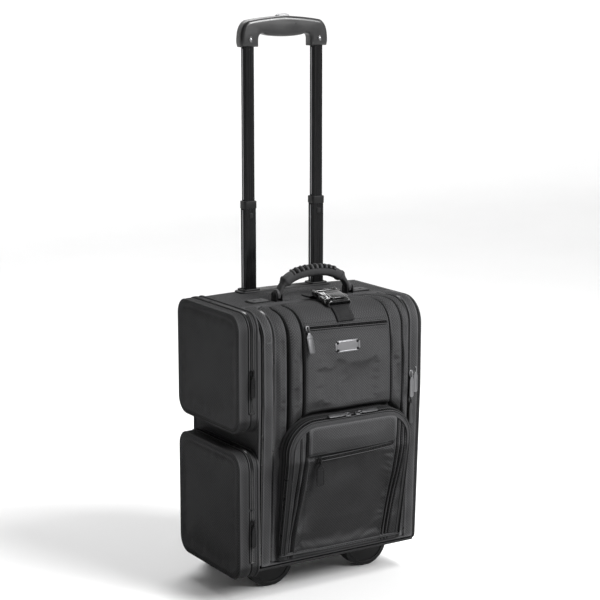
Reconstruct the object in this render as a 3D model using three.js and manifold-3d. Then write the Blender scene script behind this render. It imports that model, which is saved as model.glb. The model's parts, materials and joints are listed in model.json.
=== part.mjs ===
// Rolling laptop case: a soft upright case with a telescopic pull handle, two rear wheels,
// two half-disc front feet, two zipped side pockets and a layered zipped front.
// Millimetres, +Z up. The case frame has X = 0 on the case's middle plane, -Y to the front,
// Y = 0 on the front edge of the side panels, and Z = 0 on the floor. At the end the whole
// model is moved so that its origin is the middle of its box, on the floor.
import * as THREE from "three";
import { mergeVertices } from "three/addons/utils/BufferGeometryUtils.js";
import Module from "manifold-3d";

const wasm = await Module();
wasm.setup();

// ---- driving dimensions -------------------------------------------------------------------
const gap = 0.4; // clearance between touching pieces
const wall = 5; // padded fabric panel

const halfWidth = 180; // side panel outer face
const backY = 250; // back panel outer face
const baseZ = 62; // underside of the case
const topZ = 550; // top of the case
const shoulder = 50; // radius of the front top shoulder
const lean = 13; // how far the foot of the front sits back
const leanZ = 380; // the front is upright above this height
const lidTopY = 85; // back edge of the opening front on the case's top
const dividerY = 186; // board between the main compartment and the handle bay

const tubeX = 77; // pull handle tubes
const tubeY = 213;
const outerTube = { x: 29, y: 24, wall: 1.5, low: 74, high: topZ - gap };
const middleTube = { x: 25, y: 20, wall: 1.2, low: 300, high: 715 };
const upperTube = { x: 21.4, y: 16.4, wall: 1.2, low: 585, high: 1051 };
const collarHeight = 14;
const bezelTop = topZ + 6;

const gripHalf = 97; // pull handle grip
const gripLegInner = 58;
const gripLegZ = 1022;
const gripTopZ = 1080;
const gripDepth = 27;
const button = { x: 30, y: 13, height: 15, proud: 4 };

const wheelRadius = 38;
const wheelWidth = 24;
const wheelX = 147;
const wheelY = 232;
const axleRadius = 4;
const hubRadius = 23;

const footRadius = 50;
const footX = 110;
const footY = 93;
const footDepth = 30;
const footFlat = 8; // half the flat under a foot

const lidHalf = 172; // main lid, inside the outer zip
const trayDepth = 40; // laptop tray behind the front cover
const trayRim = 21;
const coverHalf = 150; // front cover, inside the inner zip
const foldHalf = 129.5; // outer fold of the front cover
const panelHalf = 99.5; // raised front panel
const coverLow = 75;
const coverSkin = 4;

const pocketBase = 8; // the cover's height behind the top of the front pocket
const pocketFoot = { base: 2.5, taper: 0.3, rise: 200 }; // the pocket thins towards its foot
const pocketStep = [353, 362]; // above the pocket the cover steps out to full height
const frontPocket = { half: 140, low: 79, high: 351, rTop: 62, rLow: 14, depth: 30 };
const sidePocketX = { base: halfWidth + gap, split: 196, face: 221 };
const sidePocketY = { low: 2, high: 236 };
const upperPocket = { low: 330, high: 553, bulge: 4 };
const lowerPocket = { low: 50, high: 293, bulge: 7 };
const pocketCorner = 30;

const strapHalf = 19; // webbing is 38 wide
const strapThick = 2.4;
const strapEnd = 136; // half the length of the strap across the top
const strapX = 3;
const baseStrapY = 110;
const handleRadius = 80; // carry handle, an arc
const handleTopZ = 602;
const handlePivot = 11; // radius of the carry handle's feet, which turn on their middles

// ---- materials ----------------------------------------------------------------------------
const finishes = {
  fabric: [0x2b2b2d, 0.9, 0],
  lining: [0x38383b, 0.95, 0],
  webbing: [0x141415, 0.8, 0],
  tube: [0x17181a, 0.35, 0.6],
  plastic: [0x1c1c1e, 0.5, 0],
  rubber: [0x29292b, 0.75, 0],
  silver: [0xb4b6b8, 0.3, 0.9],
  zip_metal: [0x303134, 0.35, 0.8],
  gloss: [0x0c0c0d, 0.12, 0],
  button: [0x8f9193, 0.4, 0.4],
  hub: [0x4a4b4d, 0.5, 0],
};

function finish(name) {
  const [color, roughness, metalness] = finishes[name];
  return new THREE.MeshStandardMaterial({ color, roughness, metalness });
}

const model = new THREE.Group();

function add(name, geometry, finishName, position = [0, 0, 0]) {
  const mesh = new THREE.Mesh(geometry, finish(finishName));
  mesh.name = name;
  mesh.position.set(...position);
  model.add(mesh);
  return mesh;
}

// ---- shape helpers ------------------------------------------------------------------------
function toSolid(geometry) {
  const bare = geometry.clone();
  bare.deleteAttribute("normal");
  bare.deleteAttribute("uv");
  const merged = mergeVertices(bare, 1e-4);
  return new wasm.Manifold(
    new wasm.Mesh({
      numProp: 3,
      vertProperties: new Float32Array(merged.attributes.position.array),
      triVerts: new Uint32Array(merged.index.array),
    }),
  );
}

function toGeometry(solid) {
  const mesh = solid.getMesh();
  const geometry = new THREE.BufferGeometry();
  geometry.setAttribute("position", new THREE.BufferAttribute(new Float32Array(mesh.vertProperties), 3));
  geometry.setIndex(new THREE.BufferAttribute(new Uint32Array(mesh.triVerts), 1));
  geometry.computeVertexNormals();
  return geometry;
}

function cut(body, ...tools) {
  let solid = toSolid(body);
  for (const tool of tools) solid = solid.subtract(toSolid(tool));
  return toGeometry(solid);
}

function join(body, ...others) {
  let solid = toSolid(body);
  for (const other of others) solid = solid.add(toSolid(other));
  return toGeometry(solid);
}

function span(x0, x1, y0, y1, z0, z1) {
  const geometry = new THREE.BoxGeometry(x1 - x0, y1 - y0, z1 - z0);
  return geometry.translate((x0 + x1) / 2, (y0 + y1) / 2, (z0 + z1) / 2);
}

function mirrored(geometry) {
  const copy = geometry.clone().scale(-1, 1, 1);
  const index = copy.index.array;
  for (let i = 0; i < index.length; i += 3) [index[i], index[i + 1]] = [index[i + 1], index[i]];
  copy.computeVertexNormals();
  return copy;
}

function loopShape(points) {
  return new THREE.Shape(points.map(([a, b]) => new THREE.Vector2(a, b)));
}

// A shape drawn in (Y, Z), stretched along X.
function alongX(shape, x0, x1) {
  const geometry = new THREE.ExtrudeGeometry(shape, { depth: x1 - x0, bevelEnabled: false });
  const turn = new THREE.Matrix4().set(0, 0, 1, x0, 1, 0, 0, 0, 0, 1, 0, 0, 0, 0, 0, 1);
  return geometry.applyMatrix4(turn);
}

// A shape drawn in (X, Z), stretched along Y.
function alongY(shape, y0, y1, bevel = 0) {
  const geometry = new THREE.ExtrudeGeometry(shape, {
    depth: y1 - y0 - 2 * bevel,
    bevelEnabled: bevel > 0,
    bevelSize: bevel,
    bevelThickness: bevel,
    bevelOffset: -bevel,
    bevelSegments: 2,
    curveSegments: 8,
  });
  return geometry.rotateX(Math.PI / 2).translate(0, y1 - bevel, 0);
}

// A shape drawn in (X, Y), stretched along Z.
function alongZ(shape, z0, z1) {
  const geometry = new THREE.ExtrudeGeometry(shape, { depth: z1 - z0, bevelEnabled: false, curveSegments: 6 });
  return geometry.translate(0, 0, z0);
}

function drumX(radius, x0, x1, y, z, segments = 32) {
  const geometry = new THREE.CylinderGeometry(radius, radius, x1 - x0, segments);
  return geometry.rotateZ(Math.PI / 2).translate((x0 + x1) / 2, y, z);
}

// Points round a rectangle with its own top and bottom corner radii, anticlockwise.
function outline({ half, low, high, rTop, rLow }, inset, steps = 5) {
  const corners = [
    [half - rLow, low + rLow, rLow, -90],
    [half - rTop, high - rTop, rTop, 0],
    [rTop - half, high - rTop, rTop, 90],
    [rLow - half, low + rLow, rLow, 180],
  ];
  const points = [];
  for (const [a, b, radius, start] of corners) {
    const r = Math.max(radius - inset, 1);
    for (let i = 0; i <= steps; i++) {
      const angle = THREE.MathUtils.degToRad(start + (90 * i) / steps);
      points.push([a + r * Math.cos(angle), b + r * Math.sin(angle)]);
    }
  }
  return points;
}

function roundedRect(width, height, radius, steps = 3) {
  const box = { half: width / 2, low: -height / 2, high: height / 2, rTop: radius, rLow: radius };
  return outline(box, 0, steps);
}

function fromLists(positions, indices) {
  const geometry = new THREE.BufferGeometry();
  geometry.setAttribute("position", new THREE.Float32BufferAttribute(positions, 3));
  geometry.setIndex(indices);
  geometry.computeVertexNormals();
  return geometry;
}

// A slab between two grids of points: across runs to +X, along runs up the front.
function gridSolid(across, along, outer, inner) {
  const positions = [];
  for (const side of [outer, inner]) {
    for (const a of across) for (const b of along) positions.push(...side(a, b));
  }
  const rows = along.length;
  const back = across.length * rows;
  const indices = [];
  const quad = (a, b, c, d) => indices.push(a, b, c, a, c, d);
  for (let i = 0; i + 1 < across.length; i++) {
    for (let j = 0; j + 1 < rows; j++) {
      const a = i * rows + j;
      quad(a, a + rows, a + rows + 1, a + 1);
      quad(back + a, back + a + 1, back + a + rows + 1, back + a + rows);
    }
    const low = i * rows;
    const high = low + rows - 1;
    quad(low, back + low, back + low + rows, low + rows);
    quad(high, high + rows, back + high + rows, back + high);
  }
  for (let j = 0; j + 1 < rows; j++) {
    const last = back - rows + j;
    quad(j, j + 1, back + j + 1, back + j);
    quad(last, back + last, back + last + 1, last + 1);
  }
  return fromLists(positions, indices);
}

// A domed shell: rings of one outline, each at its inset and depth, then a crown in the middle.
// Ring 0 is the open mouth. place(a, b, d) puts outline (a, b) at depth d.
function domedShell(outlineAt, rings, crown, skin, place) {
  const inside = rings.map((ring, i) => ({
    inset: ring.inset + skin,
    depth: i === 0 ? ring.depth : ring.depth - skin,
  }));
  const all = [...rings, ...inside.reverse()];
  const count = outlineAt(0).length;
  const positions = [];
  for (const { inset, depth } of all) for (const [a, b] of outlineAt(inset)) positions.push(...place(a, b, depth));
  const middle = outlineAt(0).reduce((sum, [, b]) => sum + b / count, 0);
  positions.push(...place(0, middle, crown), ...place(0, middle, crown - skin));
  const indices = [];
  const last = rings.length - 1;
  const tip = all.length * count;
  for (let i = 0; i < count; i++) {
    const next = (i + 1) % count;
    for (let k = 0; k < all.length - 1; k++) {
      if (k === last) continue;
      const a = k * count;
      indices.push(a + i, a + next, a + count + next, a + i, a + count + next, a + count + i);
    }
    indices.push(last * count + i, last * count + next, tip);
    indices.push((last + 1) * count + next, (last + 1) * count + i, tip + 1);
    const end = (all.length - 1) * count;
    indices.push(i, end + next, next, i, end + i, end + next);
  }
  return fromLists(positions, indices);
}

// ---- front profile ------------------------------------------------------------------------
// Y of the front at a height, and Z of the top at a depth.
function frontY(z) {
  const rise = z - topZ + shoulder;
  if (rise > 0) return shoulder - Math.sqrt(shoulder ** 2 - rise ** 2);
  return (lean * Math.max(leanZ - z, 0)) / (leanZ - baseZ);
}

function frontZ(y) {
  const back = Math.max(shoulder - y, 0);
  return topZ - shoulder + Math.sqrt(shoulder ** 2 - back ** 2);
}

// The front of the case in (Y, Z), from a height up the front, round the shoulder to a depth.
function frontProfile(lowZ, endY) {
  const points = [220, ...pocketStep, leanZ, 445, 475].map((z) => [frontY(z), z]);
  for (let i = 0; i <= 6; i++) {
    const angle = (Math.PI / 12) * i;
    points.push([shoulder * (1 - Math.cos(angle)), topZ - shoulder * (1 - Math.sin(angle))]);
  }
  const kept = points.filter(([y, z]) => z > lowZ + 3 && y < endY - 3);
  return [[frontY(lowZ), lowZ], ...kept, [endY, frontZ(endY)]];
}

function offsetProfile(points, distance) {
  const normals = points.slice(1).map(([y, z], i) => {
    const [dy, dz] = [y - points[i][0], z - points[i][1]];
    const length = Math.hypot(dy, dz);
    return [-dz / length, dy / length];
  });
  return points.map(([y, z], i) => {
    const before = normals[Math.max(i - 1, 0)];
    const after = normals[Math.min(i, normals.length - 1)];
    const scale = distance / (1 + before[0] * after[0] + before[1] * after[1]);
    return [y + (before[0] + after[0]) * scale, z + (before[1] + after[1]) * scale];
  });
}

function bandShape(lowZ, endY, outer, inner) {
  const points = frontProfile(lowZ, endY);
  return loopShape([...offsetProfile(points, inner), ...offsetProfile(points, outer).reverse()]);
}

// How far the front cover stands out from the profile: low behind the front pocket, full height
// up the front, and low again on the top.
function coverHeight(x, y, z) {
  const side = Math.abs(x);
  const full = 19;
  const steps = [
    [coverHalf, 1.5],
    [foldHalf, 11],
    [panelHalf, 17],
    [0, full],
  ];
  let height = steps[0][1];
  for (let i = 1; i < steps.length; i++) {
    const [x0, h0] = steps[i - 1];
    const [x1, h1] = steps[i];
    if (side <= x0) height = h0 + ((h1 - h0) * (x0 - side)) / (x0 - x1);
  }
  const round = THREE.MathUtils.smoothstep(y + z - topZ + shoulder, -60, 90);
  const cap = THREE.MathUtils.lerp(full, 3.5, round);
  const behind = THREE.MathUtils.clamp((z - pocketStep[0]) / (pocketStep[1] - pocketStep[0]), 0, 1);
  return Math.min(height, cap, THREE.MathUtils.lerp(baseHeight(z), full, behind));
}

// The front pocket grows from its foot up: 0 at the foot, 1 from rise upwards.
function pocketGrowth(z) {
  return THREE.MathUtils.clamp((z - coverLow) / pocketFoot.rise, 0, 1);
}

function baseHeight(z) {
  return THREE.MathUtils.lerp(pocketFoot.base, pocketBase, pocketGrowth(z));
}

// A place on the front cover, with the tilt of its surface back from upright.
function coverPlace(x, profileZ, lift) {
  const surface = (z) => {
    const y = frontY(z);
    const rise = Math.max(z - topZ + shoulder, 0) / shoulder;
    const height = coverHeight(x, y, z) + lift;
    return [y - height * Math.sqrt(1 - rise * rise), z + height * rise];
  };
  const [y, z] = surface(profileZ);
  const [y1, z1] = surface(profileZ + 4);
  const [y0, z0] = surface(profileZ - 4);
  return { at: [x, y, z], tilt: THREE.MathUtils.radToDeg(Math.atan2(y1 - y0, z1 - z0)) };
}

// ---- case panels --------------------------------------------------------------------------
function sidePanelShape() {
  const points = frontProfile(baseZ + 12, backY - 30);
  const foot = points[0][0];
  const corner = (y, z, r, from) => {
    for (let i = 0; i <= 3; i++) {
      const angle = THREE.MathUtils.degToRad(from - 30 * i);
      points.push([y + r * Math.cos(angle), z + r * Math.sin(angle)]);
    }
  };
  corner(backY - 25, topZ - 25, 25, 90);
  corner(backY - 15, baseZ + 15, 15, 0);
  corner(foot + 12, baseZ + 12, 12, -90);
  return loopShape(points.slice(1).reverse());
}

function casePanels() {
  const side = alongX(sidePanelShape(), halfWidth - wall, halfWidth);
  const well = drumX(wheelRadius + 6, 100, 200, wheelY, wheelRadius);
  const inner = halfWidth - wall - gap;
  const rightSide = cut(side, well);
  add("right_side_panel", rightSide, "fabric");
  add("left_side_panel", mirrored(rightSide), "fabric");

  const tubeHoles = [-tubeX, tubeX].map((x) =>
    span(x - 15, x + 15, tubeY - 12.5, tubeY + 12.5, topZ - 10, topZ + 10),
  );
  const top = span(-inner, inner, lidTopY + gap, backY - wall - gap, topZ - wall, topZ);
  add("top_panel", cut(top, ...tubeHoles), "fabric");
  add("base_board", span(-inner, inner, lean + 4, dividerY - gap, baseZ, baseZ + wall), "lining");
  add("back_panel", span(-inner, inner, backY - wall, backY, 88 + gap, topZ - 4), "fabric");
  const boardTop = topZ - wall - gap;
  add("bay_divider", span(-inner, inner, dividerY, dividerY + 3, baseZ, boardTop), "lining");
}

// ---- wheels, feet and their mouldings -----------------------------------------------------
function wheelCarriage() {
  const inner = halfWidth - wall - gap;
  const low = baseZ - 22;
  const kick = span(-inner, inner, backY - 9, backY + 2, low + 12, 88);
  const floor = span(-inner, inner, dividerY + 3 + gap, backY - 8, baseZ, baseZ + wall);
  const pods = [-1, 1].map((side) =>
    span(
      side * wheelX - wheelWidth / 2 - 8,
      side * wheelX + wheelWidth / 2 + 8,
      dividerY + 3 + gap,
      backY + 12,
      low,
      wheelRadius * 2 + 12,
    ),
  );
  const wells = [-1, 1].map((side) => {
    const x = side * wheelX;
    return drumX(wheelRadius + 5, x - wheelWidth / 2 - 3, x + wheelWidth / 2 + 3, wheelY, wheelRadius, 40);
  });
  const bores = [-1, 1].map((side) => {
    const x = side * wheelX;
    return drumX(axleRadius + gap, x - 30, x + 30, wheelY, wheelRadius, 16);
  });
  const body = join(kick, floor, ...pods);
  add("wheel_carriage", cut(body, ...wells, ...bores), "plastic");
}

function wheel(side, name) {
  const x = side * wheelX;
  const half = wheelWidth / 2;
  const profile = [
    [hubRadius + gap, -half],
    [wheelRadius - 4, -half],
    [wheelRadius, -half + 5],
    [wheelRadius, half - 5],
    [wheelRadius - 4, half],
    [hubRadius + gap, half],
    [hubRadius + gap, -half],
  ];
  const tyre = new THREE.LatheGeometry(profile.map(([r, h]) => new THREE.Vector2(r, h)), 40);
  add(`wheel_tyre_${name}`, tyre.rotateZ(Math.PI / 2), "rubber", [x, wheelY, wheelRadius]);
  const hubProfile = [
    [axleRadius + gap, -half + 1],
    [axleRadius + 5, -half + 1],
    [axleRadius + 6, -half + 5],
    [hubRadius - 5, -half + 5],
    [hubRadius - 3, -half + 1],
    [hubRadius, -half + 1],
    [hubRadius, half - 1],
    [hubRadius - 3, half - 1],
    [hubRadius - 5, half - 5],
    [axleRadius + 6, half - 5],
    [axleRadius + 5, half - 1],
    [axleRadius + gap, half - 1],
    [axleRadius + gap, -half + 1],
  ];
  const hub = new THREE.LatheGeometry(hubProfile.map(([r, h]) => new THREE.Vector2(r, h)), 32);
  add(`wheel_hub_${name}`, hub.rotateZ(Math.PI / 2), "hub", [x, wheelY, wheelRadius]);
}

function wheelAxle() {
  const reach = wheelX + wheelWidth / 2 + 8;
  const rod = drumX(axleRadius, -reach - 2, reach + 2, 0, 0, 16);
  const heads = [-1, 1].map((side) => {
    const middle = side * (reach + gap + 1.5);
    return drumX(axleRadius + 3, middle - 1.5, middle + 1.5, 0, 0, 16);
  });
  add("wheel_axle", join(rod, ...heads), "silver", [0, wheelY, wheelRadius]);
}

function foot(side, name) {
  const centre = Math.sqrt(footRadius ** 2 - footFlat ** 2);
  const cutZ = baseZ - gap;
  const start = Math.asin((cutZ - centre) / footRadius);
  const flatAngle = Math.asin(footFlat / footRadius);
  const points = [];
  const steps = 9;
  for (let i = 0; i <= steps; i++) {
    const angle = THREE.MathUtils.lerp(Math.PI - start, 1.5 * Math.PI - flatAngle, i / steps);
    points.push([footRadius * Math.cos(angle), centre + footRadius * Math.sin(angle)]);
  }
  points.push(...[...points].reverse().map(([x, z]) => [-x, z]));
  const disc = alongY(loopShape(points), footY - footDepth / 2, footY + footDepth / 2);
  add(`front_foot_${name}`, disc, "plastic", [side * footX, 0, 0]);
}

// ---- pull handle --------------------------------------------------------------------------
function tubeGeometry({ x, y, wall: thickness, low, high }) {
  const shape = loopShape(roundedRect(x, y, 4));
  shape.holes.push(loopShape(roundedRect(x - 2 * thickness, y - 2 * thickness, 3)));
  return alongZ(shape, low, high);
}

function ringPlate(width, depth, hole, z0, z1, corner) {
  const shape = loopShape(roundedRect(width, depth, corner));
  shape.holes.push(loopShape(roundedRect(hole.x + 1, hole.y + 1, 4.4)));
  return alongZ(shape, z0, z1);
}

function gripBody() {
  const shape = new THREE.Shape();
  shape.moveTo(-gripHalf + 3, gripLegZ);
  shape.lineTo(-gripLegInner, gripLegZ);
  shape.lineTo(-gripLegInner + 2, gripTopZ - 36);
  shape.quadraticCurveTo(0, gripTopZ - 40, gripLegInner - 2, gripTopZ - 36);
  shape.lineTo(gripLegInner, gripLegZ);
  shape.lineTo(gripHalf - 3, gripLegZ);
  shape.quadraticCurveTo(gripHalf + 1, gripTopZ - 20, gripHalf - 12, gripTopZ - 7);
  shape.quadraticCurveTo(0, gripTopZ + 6, 12 - gripHalf, gripTopZ - 7);
  shape.quadraticCurveTo(-gripHalf - 1, gripTopZ - 20, 3 - gripHalf, gripLegZ);
  const half = gripDepth / 2;
  const sockets = [-tubeX, tubeX].map((x) => {
    const { x: width, y: depth, high } = upperTube;
    const reach = [width / 2 + gap, depth / 2 + gap];
    return span(x - reach[0], x + reach[0], -reach[1], reach[1], gripLegZ - 10, high + gap);
  });
  const screwBores = [-tubeX, tubeX].map((x) => screwShank(x, gripLegZ + 14, 3.4, -half - 2, -upperTube.y / 2));
  const slot = loopShape(roundedRect(button.x + 1, button.y + 1, button.y / 2));
  const buttonWell = alongZ(slot, gripTopZ - button.height - 6, gripTopZ + 20);
  return cut(alongY(shape, -half, half, 5), ...sockets, ...screwBores, buttonWell);
}

function screwShank(x, z, radius, y0, y1) {
  const geometry = new THREE.CylinderGeometry(radius, radius, y1 - y0, 16);
  return geometry.translate(x, (y0 + y1) / 2, z);
}

function pullHandle() {
  for (const [side, name] of [
    [-1, "left"],
    [1, "right"],
  ]) {
    const place = [side * tubeX, tubeY, 0];
    add(`outer_tube_${name}`, tubeGeometry(outerTube), "tube", place);
    add(`middle_tube_${name}`, tubeGeometry(middleTube), "tube", place);
    const collarLow = middleTube.high + gap;
    const collar = ringPlate(27, 22, upperTube, collarLow, collarLow + collarHeight, 5);
    add(`tube_collar_${name}`, collar, "plastic", place);
    add(`upper_tube_${name}`, tubeGeometry(upperTube), "tube", place);
  }
  const holes = [-tubeX, tubeX].map((x) => span(x - 13.2, x + 13.2, -10.7, 10.7, topZ - 5, topZ + 20));
  const plate = alongZ(loopShape(roundedRect(206, 34, 8)), topZ + gap, bezelTop);
  add("handle_bezel", cut(plate, ...holes), "plastic", [0, tubeY, 0]);
  const bracket = span(-tubeX - 18, tubeX + 18, -14, 14, baseZ + wall + gap, outerTube.low - gap);
  add("tube_foot_bracket", bracket, "plastic", [0, tubeY, 0]);
  add("pull_handle_grip", gripBody(), "plastic", [0, tubeY, 0]);
  const top = gripTopZ + button.proud;
  const slot = loopShape(roundedRect(button.x, button.y, button.y / 2 - 0.5));
  add("release_button", alongZ(slot, top - button.height, top), "button", [0, tubeY, 0]);
}

// ---- carry handle and straps --------------------------------------------------------------
function carryHandle() {
  const low = topZ + strapThick + 2 * gap;
  const centreZ = handleTopZ - handleRadius;
  const reach = Math.acos((low - 6 - centreZ) / handleRadius);
  const steps = 12;
  const points = [];
  for (let i = 0; i <= steps; i++) {
    const angle = THREE.MathUtils.lerp(-reach, reach, i / steps);
    const [x, z] = [handleRadius * Math.sin(angle), centreZ + handleRadius * Math.cos(angle)];
    points.push(new THREE.Vector3(x, baseStrapY - 7, z));
  }
  const section = loopShape(roundedRect(20, 21, 7, 2));
  const path = new THREE.CatmullRomCurve3(points);
  const grip = new THREE.ExtrudeGeometry(section, { steps: 26, extrudePath: path });
  const pivotZ = low + gap + handlePivot;
  const side = handleRadius + 30;
  const floor = span(-side, side, baseStrapY - 30, baseStrapY + 20, low - 30, pivotZ);
  const feet = drumX(handlePivot, -side - 10, side + 10, baseStrapY - 7, pivotZ, 24);
  add("carry_handle", cut(grip, cut(floor, feet)), "rubber");
  const y = [baseStrapY - 21, baseStrapY + 19];
  const z = topZ + gap;
  add("handle_base_strap", span(-strapEnd, strapEnd, ...y, z, z + strapThick), "webbing");
  for (const [side, name] of [
    [-1, "left"],
    [1, "right"],
  ]) {
    const plateZ = z + strapThick + gap;
    const plate = alongZ(loopShape(roundedRect(36, 26, 6)), plateZ, plateZ + 2);
    const rivets = [-9, 9].map((x) => {
      const head = new THREE.CylinderGeometry(3, 4, 2.4, 12);
      return head.rotateX(Math.PI / 2).translate(x, 0, plateZ + 2.6);
    });
    add(`strap_anchor_${name}`, join(plate, ...rivets), "plastic", [side * (strapEnd - 23), baseStrapY + 10, 0]);
  }
}

const strapLowZ = 519;
const buckleZ = topZ + 9.5;
const buckleTilt = THREE.MathUtils.degToRad(15); // its front follows the shoulder down
const buckle = { half: 27, height: 14, socket: [16, 50], tongue: [50 + gap, 70] };

// Tips a buckle part about its rear, front end down.
function tipped(geometry) {
  const pivotY = 60;
  return geometry.translate(0, -pivotY, 0).rotateX(buckleTilt).translate(0, pivotY, 0);
}

function closureStrap() {
  const low = topZ + 2 * strapThick + gap;
  const rear = span(-strapHalf, strapHalf, buckle.tongue[1] + gap, baseStrapY + 8, low, low + strapThick);
  add("closure_strap_rear", rear, "webbing", [strapX, 0, 0]);

  const [y0, y1] = buckle.socket;
  const socket = span(-buckle.half, buckle.half, y0, y1, 0, buckle.height);
  const cavity = span(3 - buckle.half, buckle.half - 3, y0 + 6, y1 + 5, 2, buckle.height - 2.5);
  const windows = [-1, 1].map((side) => {
    const edge = side * buckle.half;
    return span(edge - 6, edge + 6, y0 + 9, y0 + 22, 1, buckle.height - 2);
  });
  add("buckle_socket", tipped(cut(socket, cavity, ...windows)), "gloss", [strapX, 0, buckleZ]);

  const [t0, t1] = buckle.tongue;
  const body = span(-buckle.half, buckle.half, t0, t1, 1, buckle.height - 1);
  const slot = span(-strapHalf - 1, strapHalf + 1, t1 - 7, t1 - 3, -2, buckle.height + 2);
  const prongs = [-17, -2.5, 12].map((x) => span(x, x + 5, y0 + 9, t0 + 1, 8, buckle.height - 2.9));
  add("buckle_tongue", tipped(join(cut(body, slot), ...prongs)), "gloss", [strapX, 0, buckleZ]);

  const along = frontProfile(strapLowZ, y0 - gap);
  const rise = (y, z) => coverHeight(strapX, y, z) + 1.2;
  const rows = along.map((_, i) => i);
  const at = (extra) => (x, i) => {
    const [y, z] = along[i];
    const [oy, oz] = offsetProfile(along, rise(y, z) + extra)[i];
    return [x, oy, oz];
  };
  const across = [-strapHalf, strapHalf];
  add("closure_strap_front", gridSolid(across, rows, at(strapThick), at(0)), "webbing", [strapX, 0, 0]);
}

// ---- opening front ------------------------------------------------------------------------
function mainLid() {
  const low = baseZ + wall + gap + 2;
  const block = alongX(bandShape(low, lidTopY, 0, -trayDepth), -lidHalf, lidHalf);
  const reach = lidHalf - trayRim;
  const opening = bandShape(coverLow - 1, lidTopY - wall, 30, wall - trayDepth);
  const tray = alongX(opening, -reach, reach);
  add("main_lid", cut(block, tray), "fabric");
}

function frontCover() {
  const along = frontProfile(coverLow, lidTopY - 6);
  const rows = along.map((_, i) => i);
  const across = [-1, -0.97, -foldHalf / coverHalf, -panelHalf / coverHalf, -0.33, 0];
  across.push(...across.slice(0, -1).reverse().map((u) => -u));
  const narrow = (y) => 1 - 0.13 * THREE.MathUtils.smoothstep(y, 40, lidTopY);
  const at = (extra) => (u, i) => {
    const [y, z] = along[i];
    const x = u * coverHalf * narrow(y);
    const height = Math.max(coverHeight(u * coverHalf, y, z), 1) + extra;
    const [oy, oz] = offsetProfile(along, height)[i];
    return [x, oy, oz];
  };
  add("front_cover", gridSolid(across, rows, at(0), at(-coverSkin)), "fabric");
}

function badge() {
  const plate = alongY(loopShape(roundedRect(55, 22, 5)), -1.8, 0);
  const rivets = [];
  for (const x of [-22, 22]) {
    for (const z of [-6.5, 6.5]) {
      const head = new THREE.SphereGeometry(2.2, 10, 6);
      rivets.push(head.scale(1, 0.6, 1).translate(x, -1.8, z));
    }
  }
  const { at, tilt } = coverPlace(1, 478, 0.9);
  const mesh = add("name_plate_blank", join(plate, ...rivets), "silver", at);
  mesh.rotation.x = THREE.MathUtils.degToRad(-tilt);
}

function frontPocketShell() {
  const { depth } = frontPocket;
  const rings = [
    { inset: 0, depth: 0 },
    { inset: 0.5, depth: depth * 0.6 },
    { inset: 5, depth: depth * 0.88 },
    { inset: 13, depth },
  ];
  const slope = lean / (leanZ - baseZ);
  const taper = (b) => THREE.MathUtils.lerp(pocketFoot.taper, 1, pocketGrowth(b));
  const place = (a, b, d) => [a, slope * (leanZ - b) - baseHeight(b) - 1 - d * taper(b), b];
  const shell = domedShell((inset) => outline(frontPocket, inset, 6), rings, depth + 3, coverSkin, place);
  add("front_pocket", shell, "fabric");
}

function sidePocket(name, { low, high, bulge }) {
  const middle = (sidePocketY.low + sidePocketY.high) / 2;
  const half = (sidePocketY.high - sidePocketY.low) / 2;
  const box = { half, low, high, rTop: pocketCorner, rLow: pocketCorner };
  const outlineAt = (inset) => outline(box, inset);
  const ring = loopShape(outlineAt(0).map(([a, b]) => [middle + a, b]));
  ring.holes.push(loopShape(outlineAt(wall).map(([a, b]) => [middle + a, b])));
  add(`${name}_pocket_base`, alongX(ring, -sidePocketX.split, -sidePocketX.base), "fabric");

  const depth = sidePocketX.face - sidePocketX.split - gap;
  const rings = [
    { inset: 0, depth: 0 },
    { inset: 0, depth: depth - 8 },
    { inset: 2.5, depth: depth - 2.5 },
    { inset: 8, depth },
    { inset: 50, depth: depth + bulge * 0.8 },
  ];
  const place = (a, b, d) => [-sidePocketX.split - gap - d, middle - a, b];
  add(`${name}_pocket_lid`, domedShell(outlineAt, rings, depth + bulge, wall, place), "fabric");
}

// ---- zip sliders --------------------------------------------------------------------------
// A slider sits on its zip with the zip along local Z and the open air towards local -Y. Its
// pull hangs from a pin 4 below the slider's middle. turn swings both about the air direction,
// and tilt leans them back with the surface, in degrees.
const pullPin = 4;

function sliderGeometry() {
  const body = span(-4.5, 4.5, -3, 0, -6, 6);
  const bridge = span(-1.3, 1.3, -6.4, -2.5, -6.5, 4);
  const eye = span(-2, 2, -5.2, -3.4, -5.4, -2.6);
  return join(body, cut(bridge, eye));
}

function pullGeometry(length, width) {
  const half = width / 2;
  const shape = loopShape([
    [-3.4, -6],
    [-half, -11],
    [-half, 2 - length],
    [2 - half, -length],
    [half - 2, -length],
    [half, 2 - length],
    [half, -11],
    [3.4, -6],
  ]);
  const tab = alongY(shape, -5.6, -3.4);
  const arms = [-1, 1].map((side) => span(side * 2.5 - 0.8, side * 2.5 + 0.8, -5.1, -3.5, -8, 0.8));
  const mouth = span(-1.7, 1.7, -6, -3, -9, -2);
  return join(cut(tab, mouth), ...arms, drumX(0.7, -2.5, 2.5, -4.3, 0, 8));
}

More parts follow.
